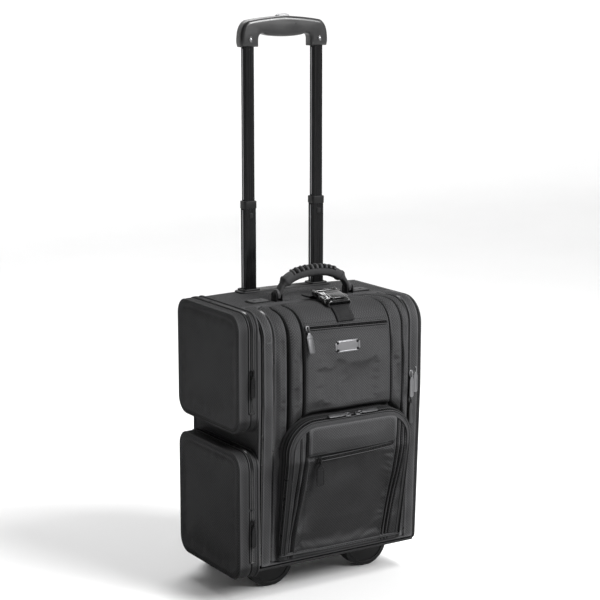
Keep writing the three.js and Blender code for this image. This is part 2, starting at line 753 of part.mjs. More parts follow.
const zips = [
  { name: "upper_pocket", at: [-196.2, -0.6, 447], finish: "zip_metal", length: 43, width: 9 },
  { name: "lower_pocket", at: [-196.2, -0.6, 163], finish: "zip_metal", length: 43, width: 9 },
  { name: "outer_front", at: [166.4, -0.6, 412], finish: "silver", length: 43, width: 9 },
  { name: "inner_front_high", at: [155.4, -3.4, 404], finish: "silver", length: 43, width: 9 },
  { name: "inner_front_low", at: [155.4, -2.4, 352], finish: "zip_metal", length: 43, width: 9 },
  { name: "front_panel", ...coverPlace(-84, 514, 1), finish: "zip_metal", length: 43, width: 13 },
  { name: "arch_left", at: [-8, -32.6, 349.6], turn: -90, tilt: 58, finish: "zip_metal", length: 40, width: 8 },
  { name: "arch_right", at: [14, -32.6, 349.6], turn: 90, tilt: 58, finish: "zip_metal", length: 40, width: 8 },
  { name: "slanted", at: [-74, -37.4, 273], finish: "zip_metal", length: 45, width: 17 },
];

function zipSliders() {
  for (const { name, at, turn = 0, tilt = 0, finish: metal, length, width } of zips) {
    const holder = new THREE.Group();
    holder.position.set(...at);
    holder.rotation.set(THREE.MathUtils.degToRad(-tilt), THREE.MathUtils.degToRad(-turn), 0);
    const slider = new THREE.Mesh(sliderGeometry(), finish(metal));
    slider.name = `${name}_slider`;
    const pull = new THREE.Mesh(pullGeometry(length, width), finish(metal));
    pull.name = `${name}_pull`;
    pull.position.z = -pullPin;
    holder.add(slider, pull);
    model.add(holder);
  }
}

// ---- assembly -----------------------------------------------------------------------------
casePanels();
wheelCarriage();
for (const [side, name] of [
  [-1, "left"],
  [1, "right"],
]) {
  wheel(side, name);
  foot(side, name);
}
wheelAxle();
pullHandle();
carryHandle();
closureStrap();
mainLid();
frontCover();
badge();
frontPocketShell();
sidePocket("upper", upperPocket);
sidePocket("lower", lowerPocket);
zipSliders();

model.updateMatrixWorld(true);
const bounds = new THREE.Box3().setFromObject(model, true);
const centre = bounds.getCenter(new THREE.Vector3());
model.position.set(-centre.x, -centre.y, -bounds.min.z);
model.updateMatrixWorld(true);

export default model;
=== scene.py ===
"""Looks of a rolling laptop case: soft shells, piping, zips, webbing and moulded parts round the frame.

Lengths are millimetres in the case's own frame (X = 0 in the middle, Y = 0 at the front edge of the side
panels, Z = 0 on the floor) and become metres in the shared frame when a piece is made.
"""

import json
import math

import bmesh
import bpy
import numpy as np
from mathutils import Matrix, Vector


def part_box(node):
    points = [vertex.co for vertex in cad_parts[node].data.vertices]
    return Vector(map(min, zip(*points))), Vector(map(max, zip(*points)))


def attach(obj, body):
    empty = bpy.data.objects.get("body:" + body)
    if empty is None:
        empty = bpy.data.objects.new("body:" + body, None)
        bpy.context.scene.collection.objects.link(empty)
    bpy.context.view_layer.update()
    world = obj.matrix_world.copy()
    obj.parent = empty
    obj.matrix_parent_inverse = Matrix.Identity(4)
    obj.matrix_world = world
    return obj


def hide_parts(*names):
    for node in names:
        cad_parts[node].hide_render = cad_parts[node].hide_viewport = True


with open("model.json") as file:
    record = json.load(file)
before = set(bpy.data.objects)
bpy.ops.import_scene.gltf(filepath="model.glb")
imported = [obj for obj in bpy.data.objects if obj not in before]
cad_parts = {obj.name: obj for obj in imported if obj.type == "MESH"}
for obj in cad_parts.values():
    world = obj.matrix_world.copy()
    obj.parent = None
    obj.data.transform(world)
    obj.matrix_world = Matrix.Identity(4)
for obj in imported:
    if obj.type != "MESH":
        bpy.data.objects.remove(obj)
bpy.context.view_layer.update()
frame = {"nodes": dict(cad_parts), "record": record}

# ---- driving dimensions ---------------------------------------------------------------------
HALF_WIDTH = 180
BACK_Y = 250
BASE_Z = 62
TOP_Z = 550
SHOULDER = 50
SHOULDER_Z = TOP_Z - SHOULDER
TOP_S = SHOULDER_Z + SHOULDER * math.pi / 2  # distance up the front at which the flat top starts
LEAN = 13
LEAN_Z = 380
LID_HALF = 172
LID_TOP_Y = 85
LID_LOW = 69.5
COVER_HALF = 150
FOLD_HALF = 129.5
PANEL_HALF = 99.5
COVER_LOW = 75
POCKET_HALF = 140
POCKET_LOW = 79
POCKET_HIGH = 351
POCKET_CORNER = 62
POCKET_DEPTH = 30
TUBE_X = 77
TUBE_Y = 213
WHEEL_X = 147
WHEEL_Y = 232
WHEEL_RADIUS = 38
HUB_RADIUS = 23
FOOT_X = 110
FOOT_Y = 93
FOOT_RADIUS = 50
GRIP_HALF = 97
GRIP_LEG_Z = 1022
GRIP_TOP_Z = 1080
STRAP_X = 3
STRAP_HALF = 19
HANDLE_Y = 103
HANDLE_PIN_Z = 564.6
FACE_INSET = 12.5  # from the pocket's outline to its face
SIDES = ((-1, "left"), (1, "right"))

ORIGIN = np.array([
    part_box("right_side_panel")[1].x * 1000 - HALF_WIDTH,
    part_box("back_panel")[1].y * 1000 - BACK_Y,
    0.0,
])
BODY_OF = {node: body for body, nodes in frame["record"]["behaviour"]["bodies"].items() for node in nodes}


def smooth(t):
    t = np.clip(t, 0, 1)
    return t * t * (3 - 2 * t)


def unit(v):
    return v / np.maximum(np.linalg.norm(v, axis=-1, keepdims=True), 1e-9)


def ripple(u, v, size, seed):
    """Soft folds between -1 and 1, about size long; the same for the same seed."""
    rng = np.random.default_rng(seed)
    total = 0
    for _ in range(7):
        angle = rng.uniform(0, math.pi)
        wave = size * rng.uniform(0.7, 1.9)
        phase = rng.uniform(0, 2 * math.pi)
        total = total + np.sin((u * math.cos(angle) + v * math.sin(angle)) * 2 * math.pi / wave + phase)
    return total / 5


# ---- mesh helpers ---------------------------------------------------------------------------
class Build:
    """Gathers closed meshes, each (points, faces), into one piece."""

    def __init__(self, *parts):
        self.points = []
        self.faces = []
        self.count = 0
        for part in parts:
            self.add(part)

    def add(self, part):
        points, faces = part
        self.points.append(np.asarray(points, float).reshape(-1, 3))
        self.faces.extend([[i + self.count for i in face] for face in faces])
        self.count += len(self.points[-1])
        return self

    def piece(self, name, material, body, slot, replaces=(), sharp=35):
        world = (np.concatenate(self.points) + ORIGIN) / 1000
        mesh = bpy.data.meshes.new(name)
        mesh.from_pydata(world.tolist(), [], self.faces)
        bm = bmesh.new()
        bm.from_mesh(mesh)
        bmesh.ops.recalc_face_normals(bm, faces=bm.faces)
        bm.to_mesh(mesh)
        bm.free()
        mesh.shade_smooth()
        mesh.set_sharp_from_angle(angle=math.radians(sharp))
        obj = bpy.data.objects.new(name, mesh)
        bpy.context.scene.collection.objects.link(obj)
        mesh.materials.append(material)
        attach(obj, body)
        if replaces:
            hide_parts(*replaces)
        return obj


def lattice(rows, columns, wrap_rows=False, wrap_columns=False, start=0):
    faces = []
    for i in range(rows if wrap_rows else rows - 1):
        for j in range(columns if wrap_columns else columns - 1):
            a = start + i * columns + j
            b = start + i * columns + (j + 1) % columns
            c = start + ((i + 1) % rows) * columns + (j + 1) % columns
            d = start + ((i + 1) % rows) * columns + j
            faces.append([a, b, c, d])
    return faces


def fan(start, count, tip, flip=False):
    """Triangles from a ring of points to one point."""
    faces = [[start + j, start + (j + 1) % count, tip] for j in range(count)]
    return [[b, a, c] for a, b, c in faces] if flip else faces


def shell(grid, thickness):
    """A closed skin: a grid of points, its copy set back by thickness, and the rim between them."""
    normal = unit(np.cross(np.gradient(grid, axis=0), np.gradient(grid, axis=1)))
    return between(grid, grid - normal * thickness)


def between(front, back):
    """The closed mesh between two grids of points of the same size."""
    rows, columns = front.shape[:2]
    points = np.concatenate([front.reshape(-1, 3), back.reshape(-1, 3)])
    half = rows * columns
    faces = lattice(rows, columns) + [face[::-1] for face in lattice(rows, columns, start=half)]
    border = list(range(columns))
    border += [i * columns + columns - 1 for i in range(1, rows)]
    border += [(rows - 1) * columns + j for j in range(columns - 2, -1, -1)]
    border += [i * columns for i in range(rows - 2, 0, -1)]
    for a, b in zip(border, border[1:] + border[:1]):
        faces.append([b, a, a + half, b + half])
    return points, faces


def sweep(path, up, section, closed=False):
    """A closed section of (across, above) points carried along a path whose surface normal is up."""
    path = np.asarray(path, float)
    tangent = np.roll(path, -1, 0) - np.roll(path, 1, 0) if closed else np.gradient(path, axis=0)
    tangent = unit(tangent)
    up = np.broadcast_to(np.asarray(up, float), path.shape)
    up = unit(up - tangent * (up * tangent).sum(-1, keepdims=True))
    side = np.cross(tangent, up)
    section = np.asarray(section, float)
    if section.ndim == 2:
        section = np.broadcast_to(section, (len(path),) + section.shape)
    rings = path[:, None] + side[:, None] * section[:, :, :1] + up[:, None] * section[:, :, 1:]
    count = section.shape[1]
    faces = lattice(len(path), count, wrap_rows=closed, wrap_columns=True)
    if not closed:
        faces.append(list(range(count)))
        faces.append([(len(path) - 1) * count + j for j in range(count)][::-1])
    return rings.reshape(-1, 3), faces


def turns(count):
    """Evenly spaced angles round a full turn."""
    return np.linspace(0, 2 * math.pi, count, endpoint=False)


def circle(radius, count=10, lift=0.0):
    angles = turns(count)
    return np.stack([radius * np.cos(angles), radius * np.sin(angles) + lift], -1)


def band(width, thick, lift=0.0, corner=None, steps=2):
    """Section of a flat strip with rounded edges, lying on the surface."""
    corner = min(corner or thick / 2, thick / 2, width / 2)
    points = []
    for x, z, start in ((1, 0, -90), (1, 1, 0), (-1, 1, 90), (-1, 0, 180)):
        cx = x * (width / 2 - corner)
        cz = lift + (thick - corner if z else corner)
        for i in range(steps + 1):
            angle = math.radians(start + 90 * i / steps)
            points.append((cx + corner * math.cos(angle), cz + corner * math.sin(angle)))
    return np.array(points)


def resample(path, step, closed=False):
    path = np.asarray(path, float)
    if closed:
        path = np.concatenate([path, path[:1]])
    length = np.concatenate([[0], np.cumsum(np.linalg.norm(np.diff(path, axis=0), axis=1))])
    count = max(int(round(length[-1] / step)), 2)
    at = np.linspace(0, length[-1], count + 1)
    if closed:
        at = at[:-1]
    return np.stack([np.interp(at, length, path[:, k]) for k in range(path.shape[1])], -1)


def recounted(outline, count):
    """A closed outline redrawn with count points, so that rings of different sizes join point to point."""
    at = np.linspace(0, len(outline), count, endpoint=False)
    wrapped = np.concatenate([outline, outline[:1]])
    return np.stack([np.interp(at, np.arange(len(wrapped)), wrapped[:, k]) for k in range(2)], -1)


def opened(loop):
    """What is left of a cut loop, reordered to start and end at the cut."""
    start = int(np.argmax(np.linalg.norm(np.diff(loop, axis=0), axis=1))) + 1
    return np.roll(loop, -start, 0)


def scatter(route, unit_points, unit_faces, pitch, closed=False):
    """Copies of a small closed mesh (along, across, above) at every pitch along a route."""
    route = resample(route, pitch, closed)
    path, up = route[:, :3], unit(route[:, 3:])
    tangent = unit(np.roll(path, -1, 0) - np.roll(path, 1, 0) if closed else np.gradient(path, axis=0))
    up = unit(up - tangent * (up * tangent).sum(-1, keepdims=True))
    side = np.cross(tangent, up)
    unit_points = np.asarray(unit_points, float)
    axes = np.stack([tangent, side, up], 1)
    points = path[:, None] + np.einsum("kc,ncd->nkd", unit_points, axes)
    count = len(unit_points)
    faces = [[i + n * count for i in face] for n in range(len(path)) for face in unit_faces]
    return points.reshape(-1, 3), faces


def spindle(length, radius, lift):
    """A short rounded bar: one stitch, rib or tooth."""
    points = [(-length / 2, 0, lift)]
    for x in (-0.38 * length, 0.38 * length):
        points += [(x, radius, lift), (x, 0, lift + radius), (x, -radius, lift), (x, 0, lift - radius)]
    points.append((length / 2, 0, lift))
    faces = [[0, 1 + (i + 1) % 4, 1 + i] for i in range(4)]
    faces += [[1 + i, 1 + (i + 1) % 4, 5 + (i + 1) % 4, 5 + i] for i in range(4)]
    faces += [[9, 5 + i, 5 + (i + 1) % 4] for i in range(4)]
    return points, faces


def stitches(route, pitch=5.5, closed=False):
    points, faces = spindle(pitch * 0.7, 0.42, 0.25)
    return scatter(route, points, faces, pitch, closed)


def teeth(route, pitch=2.1, closed=False):
    """Both rows of a coil zip, interlocked."""
    build = []
    for side in (-1, 1):
        points, faces = spindle(3.4, 0.85, 0.75)
        points = [(y * 0.9 + side * 0.25 * pitch, x + side * 0.9, z) for x, y, z in points]
        build.append(scatter(route, points, faces, pitch, closed))
    return build


def prism(outline, y0, y1, bevel=0.0, steps=3, axis="y"):
    """An outline in two axes stretched along the third, with rounded rims. Rims follow the corner normals."""
    outline = np.asarray(outline, float)
    edge = np.roll(outline, -1, 0) - outline
    area = (outline[:, 0] * np.roll(outline[:, 1], -1) - np.roll(outline[:, 0], -1) * outline[:, 1]).sum()
    if area < 0:
        outline = outline[::-1]
        edge = np.roll(outline, -1, 0) - outline
    out = unit(np.stack([edge[:, 1], -edge[:, 0]], -1))
    corner = unit(out + np.roll(out, 1, 0))
    scale = 1 / np.maximum((corner * out).sum(-1, keepdims=True), 0.5)
    levels = []
    for i in range(steps + 1):
        angle = math.pi / 2 * i / steps
        levels.append((bevel * (1 - math.sin(angle)), y0 + bevel * (1 - math.cos(angle))))
    if bevel == 0:
        levels = [(0, y0)]
    levels += [(inset, y0 + y1 - depth) for inset, depth in reversed(levels)]
    rings = []
    for inset, depth in levels:
        flat = outline - corner * scale * inset
        third = np.full((len(flat), 1), depth)
        if axis == "y":
            rings.append(np.concatenate([flat[:, :1], third, flat[:, 1:]], 1))
        elif axis == "x":
            rings.append(np.concatenate([third, flat], 1))
        else:
            rings.append(np.concatenate([flat, third], 1))
    count = len(outline)
    faces = lattice(len(rings), count, wrap_columns=True)
    faces.append(list(range(count)))
    faces.append([(len(rings) - 1) * count + j for j in range(count)][::-1])
    return np.concatenate(rings), faces


def rounded(x0, x1, z0, z1, radius, steps=5, low_radius=None):
    """Corner points of a rounded rectangle, anticlockwise."""
    low_radius = radius if low_radius is None else low_radius
    points = []
    for x, z, r, start in (
        (x1, z0, low_radius, -90), (x1, z1, radius, 0), (x0, z1, radius, 90), (x0, z0, low_radius, 180),
    ):
        cx = x - r if x == x1 else x + r
        cz = z - r if z == z1 else z + r
        for i in range(steps + 1):
            angle = math.radians(start + 90 * i / steps)
            points.append((cx + r * math.cos(angle), cz + r * math.sin(angle)))
    return np.array(points)


def block(x, y, z, radius, steps=3):
    """A box with rounded upright edges and rims."""
    outline = rounded(x[0], x[1], z[0], z[1], max(radius, 0.2) * 1.2, steps)
    return prism(outline, y[0], y[1], radius, steps)


def lathe(profile, centre, count=64):
    """A closed profile of (radius, along X) turned about X."""
    radius, along = np.asarray(profile, float).T
    rings = [np.stack([along, radius * math.cos(a), radius * math.sin(a)], -1) for a in turns(count)]
    return np.concatenate(rings) + np.asarray(centre, float), lattice(count, len(profile), True, True)


def moved(part, matrix):
    points, faces = part
    points = np.asarray(points, float)
    matrix = np.array(matrix)
    return points @ matrix[:3, :3].T + matrix[:3, 3], faces


def softened(node, width, segments, material, name=None, sharp=30):
    """A copy of a hard CAD node with its flat facets merged and its edges rounded."""
    mesh = frame["nodes"][node].data.copy()
    bm = bmesh.new()
    bm.from_mesh(mesh)
    bmesh.ops.remove_doubles(bm, verts=bm.verts, dist=2e-5)
    bmesh.ops.dissolve_limit(bm, angle_limit=math.radians(2), verts=bm.verts, edges=bm.edges)
    edges = [e for e in bm.edges if len(e.link_faces) == 2 and e.calc_face_angle(0) > math.radians(25)]
    bmesh.ops.bevel(
        bm, geom=edges, offset=width / 1000, segments=segments, profile=0.5,
        affect="EDGES", clamp_overlap=True,
    )
    bmesh.ops.recalc_face_normals(bm, faces=bm.faces)
    bm.to_mesh(mesh)
    bm.free()
    mesh.shade_smooth()
    mesh.set_sharp_from_angle(angle=math.radians(sharp))
    mesh.materials.clear()
    mesh.materials.append(material)
    obj = bpy.data.objects.new(name or f"{node}_finished", mesh)
    bpy.context.scene.collection.objects.link(obj)
    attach(obj, BODY_OF[node])
    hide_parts(node)
    return obj


# ---- materials ------------------------------------------------------------------------------
class Finish:
    """A Principled material with short calls for its nodes."""

    def __init__(self, name, roughness, metallic=0.0, **sockets):
        self.material = bpy.data.materials.new(name)
        self.material.use_nodes = True
        self.tree = self.material.node_tree
        self.shader = self.tree.nodes["Principled BSDF"]
        self.shader.inputs["Roughness"].default_value = roughness
        self.shader.inputs["Metallic"].default_value = metallic
        for socket, value in sockets.items():
            self.shader.inputs[socket.replace("_", " ")].default_value = value
        self.place = self.tree.nodes.new("ShaderNodeTexCoord")

    def node(self, kind, settings=None, **inputs):
        made = self.tree.nodes.new(kind)
        for key, value in (settings or {}).items():
            setattr(made, key, value)
        for key, value in inputs.items():
            self.link(value, made.inputs[key.replace("_", " ")])
        return made

    def link(self, value, socket):
        if isinstance(value, bpy.types.NodeSocket):
            self.tree.links.new(value, socket)
        else:
            socket.default_value = value

    def math(self, operation, a, b=0.0, c=0.0):
        made = self.tree.nodes.new("ShaderNodeMath")
        made.operation = operation
        for value, socket in zip((a, b, c), made.inputs):
            self.link(value, socket)
        return made.outputs[0]

    def axes(self, socket):
        return self.node("ShaderNodeSeparateXYZ", Vector=socket).outputs

    def noise(self, scale, detail=3.0, roughness=0.55, stretch=None):
        source = self.place.outputs["Object"]
        if stretch:
            source = self.node("ShaderNodeMapping", Vector=source, Scale=stretch).outputs[0]
        made = self.node("ShaderNodeTexNoise", Vector=source, Scale=scale, Detail=detail, Roughness=roughness)
        return made.outputs[0]

    def remap(self, value, low, high, to_low, to_high):
        made = self.node("ShaderNodeMapRange", Value=value)
        for key, number in (("From Min", low), ("From Max", high), ("To Min", to_low), ("To Max", to_high)):
            made.inputs[key].default_value = number
        return made.outputs[0]

    def blend(self, factor, a, b):
        made = self.tree.nodes.new("ShaderNodeMix")
        made.data_type = "RGBA"
        self.link(factor, made.inputs[0])
        self.link((*a, 1) if isinstance(a, tuple) else a, made.inputs[6])
        self.link((*b, 1) if isinstance(b, tuple) else b, made.inputs[7])
        return made.outputs[2]

    def surface_pair(self):
        """Two coordinates along the surface, chosen by the side it faces."""
        x, y, z = self.axes(self.place.outputs["Object"])
        nx, _, nz = self.axes(self.place.outputs["Normal"])
        faces_side = self.math("GREATER_THAN", self.math("ABSOLUTE", nx), 0.7)
        faces_up = self.math("GREATER_THAN", self.math("ABSOLUTE", nz), 0.7)
        u = self.math("MULTIPLY_ADD", self.math("SUBTRACT", y, x), faces_side, x)
        v = self.math("MULTIPLY_ADD", self.math("SUBTRACT", y, z), faces_up, z)
        return u, v

    def weave(self, pitch_u, pitch_v, strands=2.0):
        """Basket weave: cells of a few threads lying one way and then the other."""
        u, v = self.surface_pair()
        a = self.math("DIVIDE", u, pitch_u)
        b = self.math("DIVIDE", v, pitch_v)
        cells = self.math("ADD", self.math("FLOOR", a), self.math("FLOOR", b))
        turn = self.math("PINGPONG", cells, 1.0)
        thread_a = self.math("ABSOLUTE", self.math("SINE", self.math("MULTIPLY", a, math.pi * strands)))
        thread_b = self.math("ABSOLUTE", self.math("SINE", self.math("MULTIPLY", b, math.pi * strands)))
        threads = self.math("MULTIPLY_ADD", self.math("SUBTRACT", thread_b, thread_a), turn, thread_a)
        crown_a = self.math("ABSOLUTE", self.math("SINE", self.math("MULTIPLY", a, math.pi)))
        crown_b = self.math("ABSOLUTE", self.math("SINE", self.math("MULTIPLY", b, math.pi)))
        crown = self.math("MULTIPLY_ADD", self.math("SUBTRACT", crown_a, crown_b), turn, crown_b)
        return self.math("MULTIPLY", threads, self.math("POWER", crown, 0.4)), turn

    def painted_facing_shade(self):
        """Painted shade: cloth darkened where it faces down, up or to the left, most of all near the floor.
        """
        nx, _, nz = self.axes(self.place.outputs["Normal"])
        low = self.remap(self.axes(self.place.outputs["Object"])[2], 0.05, 0.36, 0.45, 0.80)
        left = self.remap(nx, -0.9, -0.3, 1.0, 0.0)
        side = self.math("MULTIPLY_ADD", self.math("SUBTRACT", low, 1.0), left, 1.0)
        down = self.remap(nz, -0.2, 0.0, 0.42, 1.0)
        up = self.remap(nz, 0.45, 0.95, 1.0, 0.58)
        return self.math("MULTIPLY", side, self.math("MULTIPLY", down, up))

    def bump(self, height, distance, strength=1.0, under=None):
        made = self.node("ShaderNodeBump", Height=height)
        made.inputs["Distance"].default_value = distance
        made.inputs["Strength"].default_value = strength
        if under is not None:
            self.tree.links.new(under, made.inputs["Normal"])
        return made.outputs[0]

    def use(self, colour=None, roughness=None, normal=None):
        for key, value in (("Base Color", colour), ("Roughness", roughness), ("Normal", normal)):
            if value is not None:
                self.tree.links.new(value, self.shader.inputs[key])
        return self.material


def grey(value):
    return (value, value, value * 1.03)


def woven(name, value, pitch=(0.0027, 0.0027), strands=2.0, depth=0.00045, sheen=0.01, contrast=1.0):
    """Woven synthetic cloth: threads, weave cells with a painted sheen, slow shade changes, lint, painted
    shade in creases and by facing, and lighter worn ridges.
    """
    finish = Finish(name, 0.85, Sheen_Weight=sheen, Sheen_Roughness=0.5, Specular_IOR_Level=0.05)
    threads, turn = finish.weave(*pitch, strands)
    patches = finish.noise(9, 4)
    lint = finish.noise(900, 2, 0.7)
    edge = finish.node("ShaderNodeNewGeometry").outputs["Pointiness"]
    worn = finish.remap(edge, 0.51, 0.56, 0.0, 0.45)
    # Painted shade: concave creases darkened, found by pointiness.
    crease = finish.remap(edge, 0.44, 0.495, -0.55, 0.0)
    shade = finish.math("MULTIPLY_ADD", patches, 0.30, finish.math("MULTIPLY", threads, 0.45 * contrast))
    # Cells lying one way painted lighter than the others, on top of the weave: a painted sheen of their
    # threads.
    shade = finish.math("MULTIPLY_ADD", turn, 0.26 * contrast, shade)
    shade = finish.math("ADD", shade, finish.math("ADD", worn, crease))
    shade = finish.math("MULTIPLY_ADD", lint, 0.30, shade)
    colour = finish.blend(finish.remap(shade, 0.20, 1.20, 0, 1), grey(value * 0.2), grey(value * 2.3))
    # Painted shade: the colour darkened by which way the cloth faces and near the floor.
    colour = finish.blend(finish.painted_facing_shade(), (0, 0, 0), colour)
    rough = finish.remap(threads, 0, 1, 0.95, 0.6)
    slow = finish.bump(finish.noise(140, 3), 0.0005, 0.4)
    return finish.use(colour, rough, finish.bump(threads, depth, 0.9, slow))


def ribbed(name, value, pitch=(0.0026, 0.0011)):
    """Webbing or zip tape: tight ribs with a slight sheen."""
    finish = Finish(name, 0.75, Specular_IOR_Level=0.06)
    threads, _ = finish.weave(*pitch, 1.0)
    colour = finish.blend(
        finish.math("MULTIPLY_ADD", finish.noise(60, 3), 0.5, finish.math("MULTIPLY", threads, 0.6)),
        grey(value * 0.45), grey(value * 1.7),
    )
    return finish.use(colour, finish.remap(threads, 0, 1, 0.85, 0.5), finish.bump(threads, 0.0004, 0.9))


def moulded(name, value, roughness, grain=1400, depth=0.00012, **sockets):
    """Moulded plastic or rubber with a fine grain, handling marks and lighter edges."""
    finish = Finish(name, roughness, **sockets)
    worn = finish.remap(finish.node("ShaderNodeNewGeometry").outputs["Pointiness"], 0.52, 0.6, 0.0, 1.0)
    marks = finish.noise(35, 4, 0.65)
    mixed = finish.math("MULTIPLY_ADD", worn, 0.5, finish.math("MULTIPLY", marks, 0.8))
    colour = finish.blend(mixed, grey(value * 0.75), grey(value * 1.5))
    rough = finish.remap(marks, 0.3, 0.7, roughness * 0.85, min(roughness * 1.2, 1))
    return finish.use(colour, rough, finish.bump(finish.noise(grain, 2, 0.6), depth, 0.5))


def metal(name, value, roughness, stretch, rim=0.8):
    """Plated or anodised metal with drawn streaks along one axis; rim is its shade at a glancing angle."""
    finish = Finish(name, roughness, 0.9, Specular_IOR_Level=0.2, Specular_Tint=(rim, rim, rim, 1))
    streaks = finish.noise(30, 4, 0.6, stretch)
    colour = finish.blend(finish.noise(20, 3), grey(value * 0.85), grey(value * 1.12))
    rough = finish.remap(streaks, 0.3, 0.7, roughness * 0.8, min(roughness * 1.35, 1))
    return finish.use(colour, rough, finish.bump(streaks, 0.00004, 0.4))


FABRIC = woven("ballistic_nylon", 0.042)
# The same nylon, darker: painted shade for the pocket walls, bands and gussets, which sit in recesses.
SHADED_GUSSET = woven("shaded_gusset_nylon", 0.024)
FABRIC_SMOOTH = woven("plain_nylon", 0.036, (0.0011, 0.0011), 1.0, 0.0002)
LINING = woven("lining_cloth", 0.07, (0.0009, 0.0009), 1.0, 0.00015)
PIPING = woven("piping_cloth", 0.032, (0.0012, 0.0012), 1.0, 0.0002)
WEBBING = ribbed("webbing", 0.016)
TAPE = ribbed("zip_tape", 0.0016, (0.0018, 0.0007))
COIL = moulded("zip_coil", 0.010, 0.30, 2500, 0.00005, Specular_IOR_Level=0.3)
THREAD = woven("thread", 0.035, (0.0006, 0.0006), 1.0, 0.0001)
TUBE = metal("anodised_tube", 0.028, 0.24, (8, 8, 0.15), 0.1)
PLASTIC = moulded("moulded_plastic", 0.010, 0.42, Specular_IOR_Level=0.16)
GRIP_PLASTIC = moulded("grip_plastic", 0.012, 0.32, 1100, 0.0001)
RUBBER = moulded("handle_rubber", 0.028, 0.60, 900, 0.0002, Specular_IOR_Level=0.2)
GLOSS = moulded("buckle_plastic", 0.003, 0.12, 500, 0.00002, Coat_Weight=0.5, Coat_Roughness=0.05)
BUCKLE_FACE = moulded("buckle_face", 0.010, 0.22, 700, 0.00003, Coat_Weight=0.6, Coat_Roughness=0.08)
SILVER = metal("satin_nickel", 0.24, 0.36, (1, 8, 8))
GUNMETAL = metal("gunmetal", 0.022, 0.30, (1, 8, 8))
PEWTER = metal("pewter", 0.085, 0.42, (1, 8, 8))
BUTTON = moulded("button_plastic", 0.20, 0.30, 1500, 0.00005)
TYRE = moulded("tyre_rubber", 0.012, 0.75, 700, 0.0003, Specular_IOR_Level=0.12)
HUB = moulded("hub_plastic", 0.03, 0.45)


# ---- the front of the case --------------------------------------------------------------------
def profile(s):
    """The front at distance s: up the front, round the shoulder, back along the top."""
    s = np.asarray(s, float)
    arc = np.clip((s - SHOULDER_Z) / SHOULDER, 0, math.pi / 2)
    lean = LEAN * np.clip(LEAN_Z - s, 0, None) / (LEAN_Z - BASE_Z)
    y = lean + SHOULDER * (1 - np.cos(arc)) + np.clip(s - TOP_S, 0, None)
    z = np.minimum(s, SHOULDER_Z) + SHOULDER * np.sin(arc)
    return y, z, -np.cos(arc), np.sin(arc)


def crown_drop(x):
    """How far the crowned top lies below its middle at x."""
    return 1.0 + 4.0 * (x / HALF_WIDTH) ** 2


def on_front(x, s, lift=0.0):
    """Points on the front or top at x and distance s, stood off by lift; the top is crowned."""
    x, s, lift = np.broadcast_arrays(np.asarray(x, float), np.asarray(s, float), np.asarray(lift, float))
    y, z, ny, nz = profile(s)
    drop = smooth((s - SHOULDER_Z - 10) / 70) * crown_drop(x)
    return np.stack([x, y + lift * ny, z + lift * nz - drop], -1)


def front_route(x, s, lift=0.0):
    """Points and surface normals along a line on the front, side by side."""
    points = on_front(x, s, lift)
    _, _, ny, nz = profile(np.broadcast_to(np.asarray(s, float), points.shape[:1]))
    normals = np.stack([0 * ny, ny, nz], -1)
    return np.concatenate([points, normals], 1)


def piping(route, radius=1.9, closed=False, lift=0.0):
    route = resample(route, 3.0, closed)
    return sweep(route[:, :3], route[:, 3:], circle(radius, 10, lift), closed)


def flat_strip(route, width, thick, lift=0.0, closed=False):
    route = resample(route, 3.0, closed)
    return sweep(route[:, :3], route[:, 3:], band(width, thick, lift), closed)


def shifted(route, across):
    """The same route moved sideways along its surface."""
    path, up = route[:, :3], route[:, 3:]
    side = np.cross(unit(np.gradient(path, axis=0)), unit(up))
    return np.concatenate([path + side * across, up], 1)


def zip_line(name, route, body, closed=False, width=13.0, welts=True, lift=0.0):
    """A coil zip: dark tape, two interlocked rows and a rolled cloth edge on each side."""
    route = resample(route, 3.0, closed)
    route = route + np.concatenate([unit(route[:, 3:]) * lift, 0 * route[:, 3:]], 1)
    Build(flat_strip(route, width * 1.3, 0.9, closed=closed)).piece(f"{name}_tape", TAPE, body, "zip_tape")
    raised = np.concatenate([route[:, :3] + unit(route[:, 3:]) * 0.7, route[:, 3:]], 1)
    Build(*teeth(raised, closed=closed)).piece(f"{name}_coil", COIL, body, "zip_tape")
    if welts:
        edges = [piping(shifted(route, side * width * 0.43), 1.05, closed, 0.9) for side in (-1, 1)]
        Build(*edges).piece(f"{name}_welts", FABRIC_SMOOTH, body, "fabric")


def bored(obj, *holes):
    """Cuts box-shaped holes, each ((x0, x1), (y0, y1), (z0, z1)), right through a piece."""
    for x, y, z in holes:
        corners = (np.array([(a, b, c) for a in x for b in y for c in z]) + ORIGIN) / 1000
        faces = [[0, 1, 3, 2], [4, 6, 7, 5], [0, 4, 5, 1], [2, 3, 7, 6], [0, 2, 6, 4], [1, 5, 7, 3]]
        mesh = bpy.data.meshes.new("hole")
        mesh.from_pydata(corners.tolist(), [], faces)
        cutter = bpy.data.objects.new("hole", mesh)
        bpy.context.scene.collection.objects.link(cutter)
        modifier = obj.modifiers.new("hole", "BOOLEAN")
        modifier.operation = "DIFFERENCE"
        modifier.solver = "EXACT"
        modifier.use_self = True
        modifier.object = cutter
        view = bpy.context.evaluated_depsgraph_get()
        cut_mesh = bpy.data.meshes.new_from_object(obj.evaluated_get(view))
        obj.modifiers.clear()
        obj.data = cut_mesh
        bpy.data.objects.remove(cutter)
    return obj


def tube_holes(low, high):
    return [((x - 13.2, x + 13.2), (TUBE_Y - 10.7, TUBE_Y + 10.7), (low, high)) for x in (-TUBE_X, TUBE_X)]


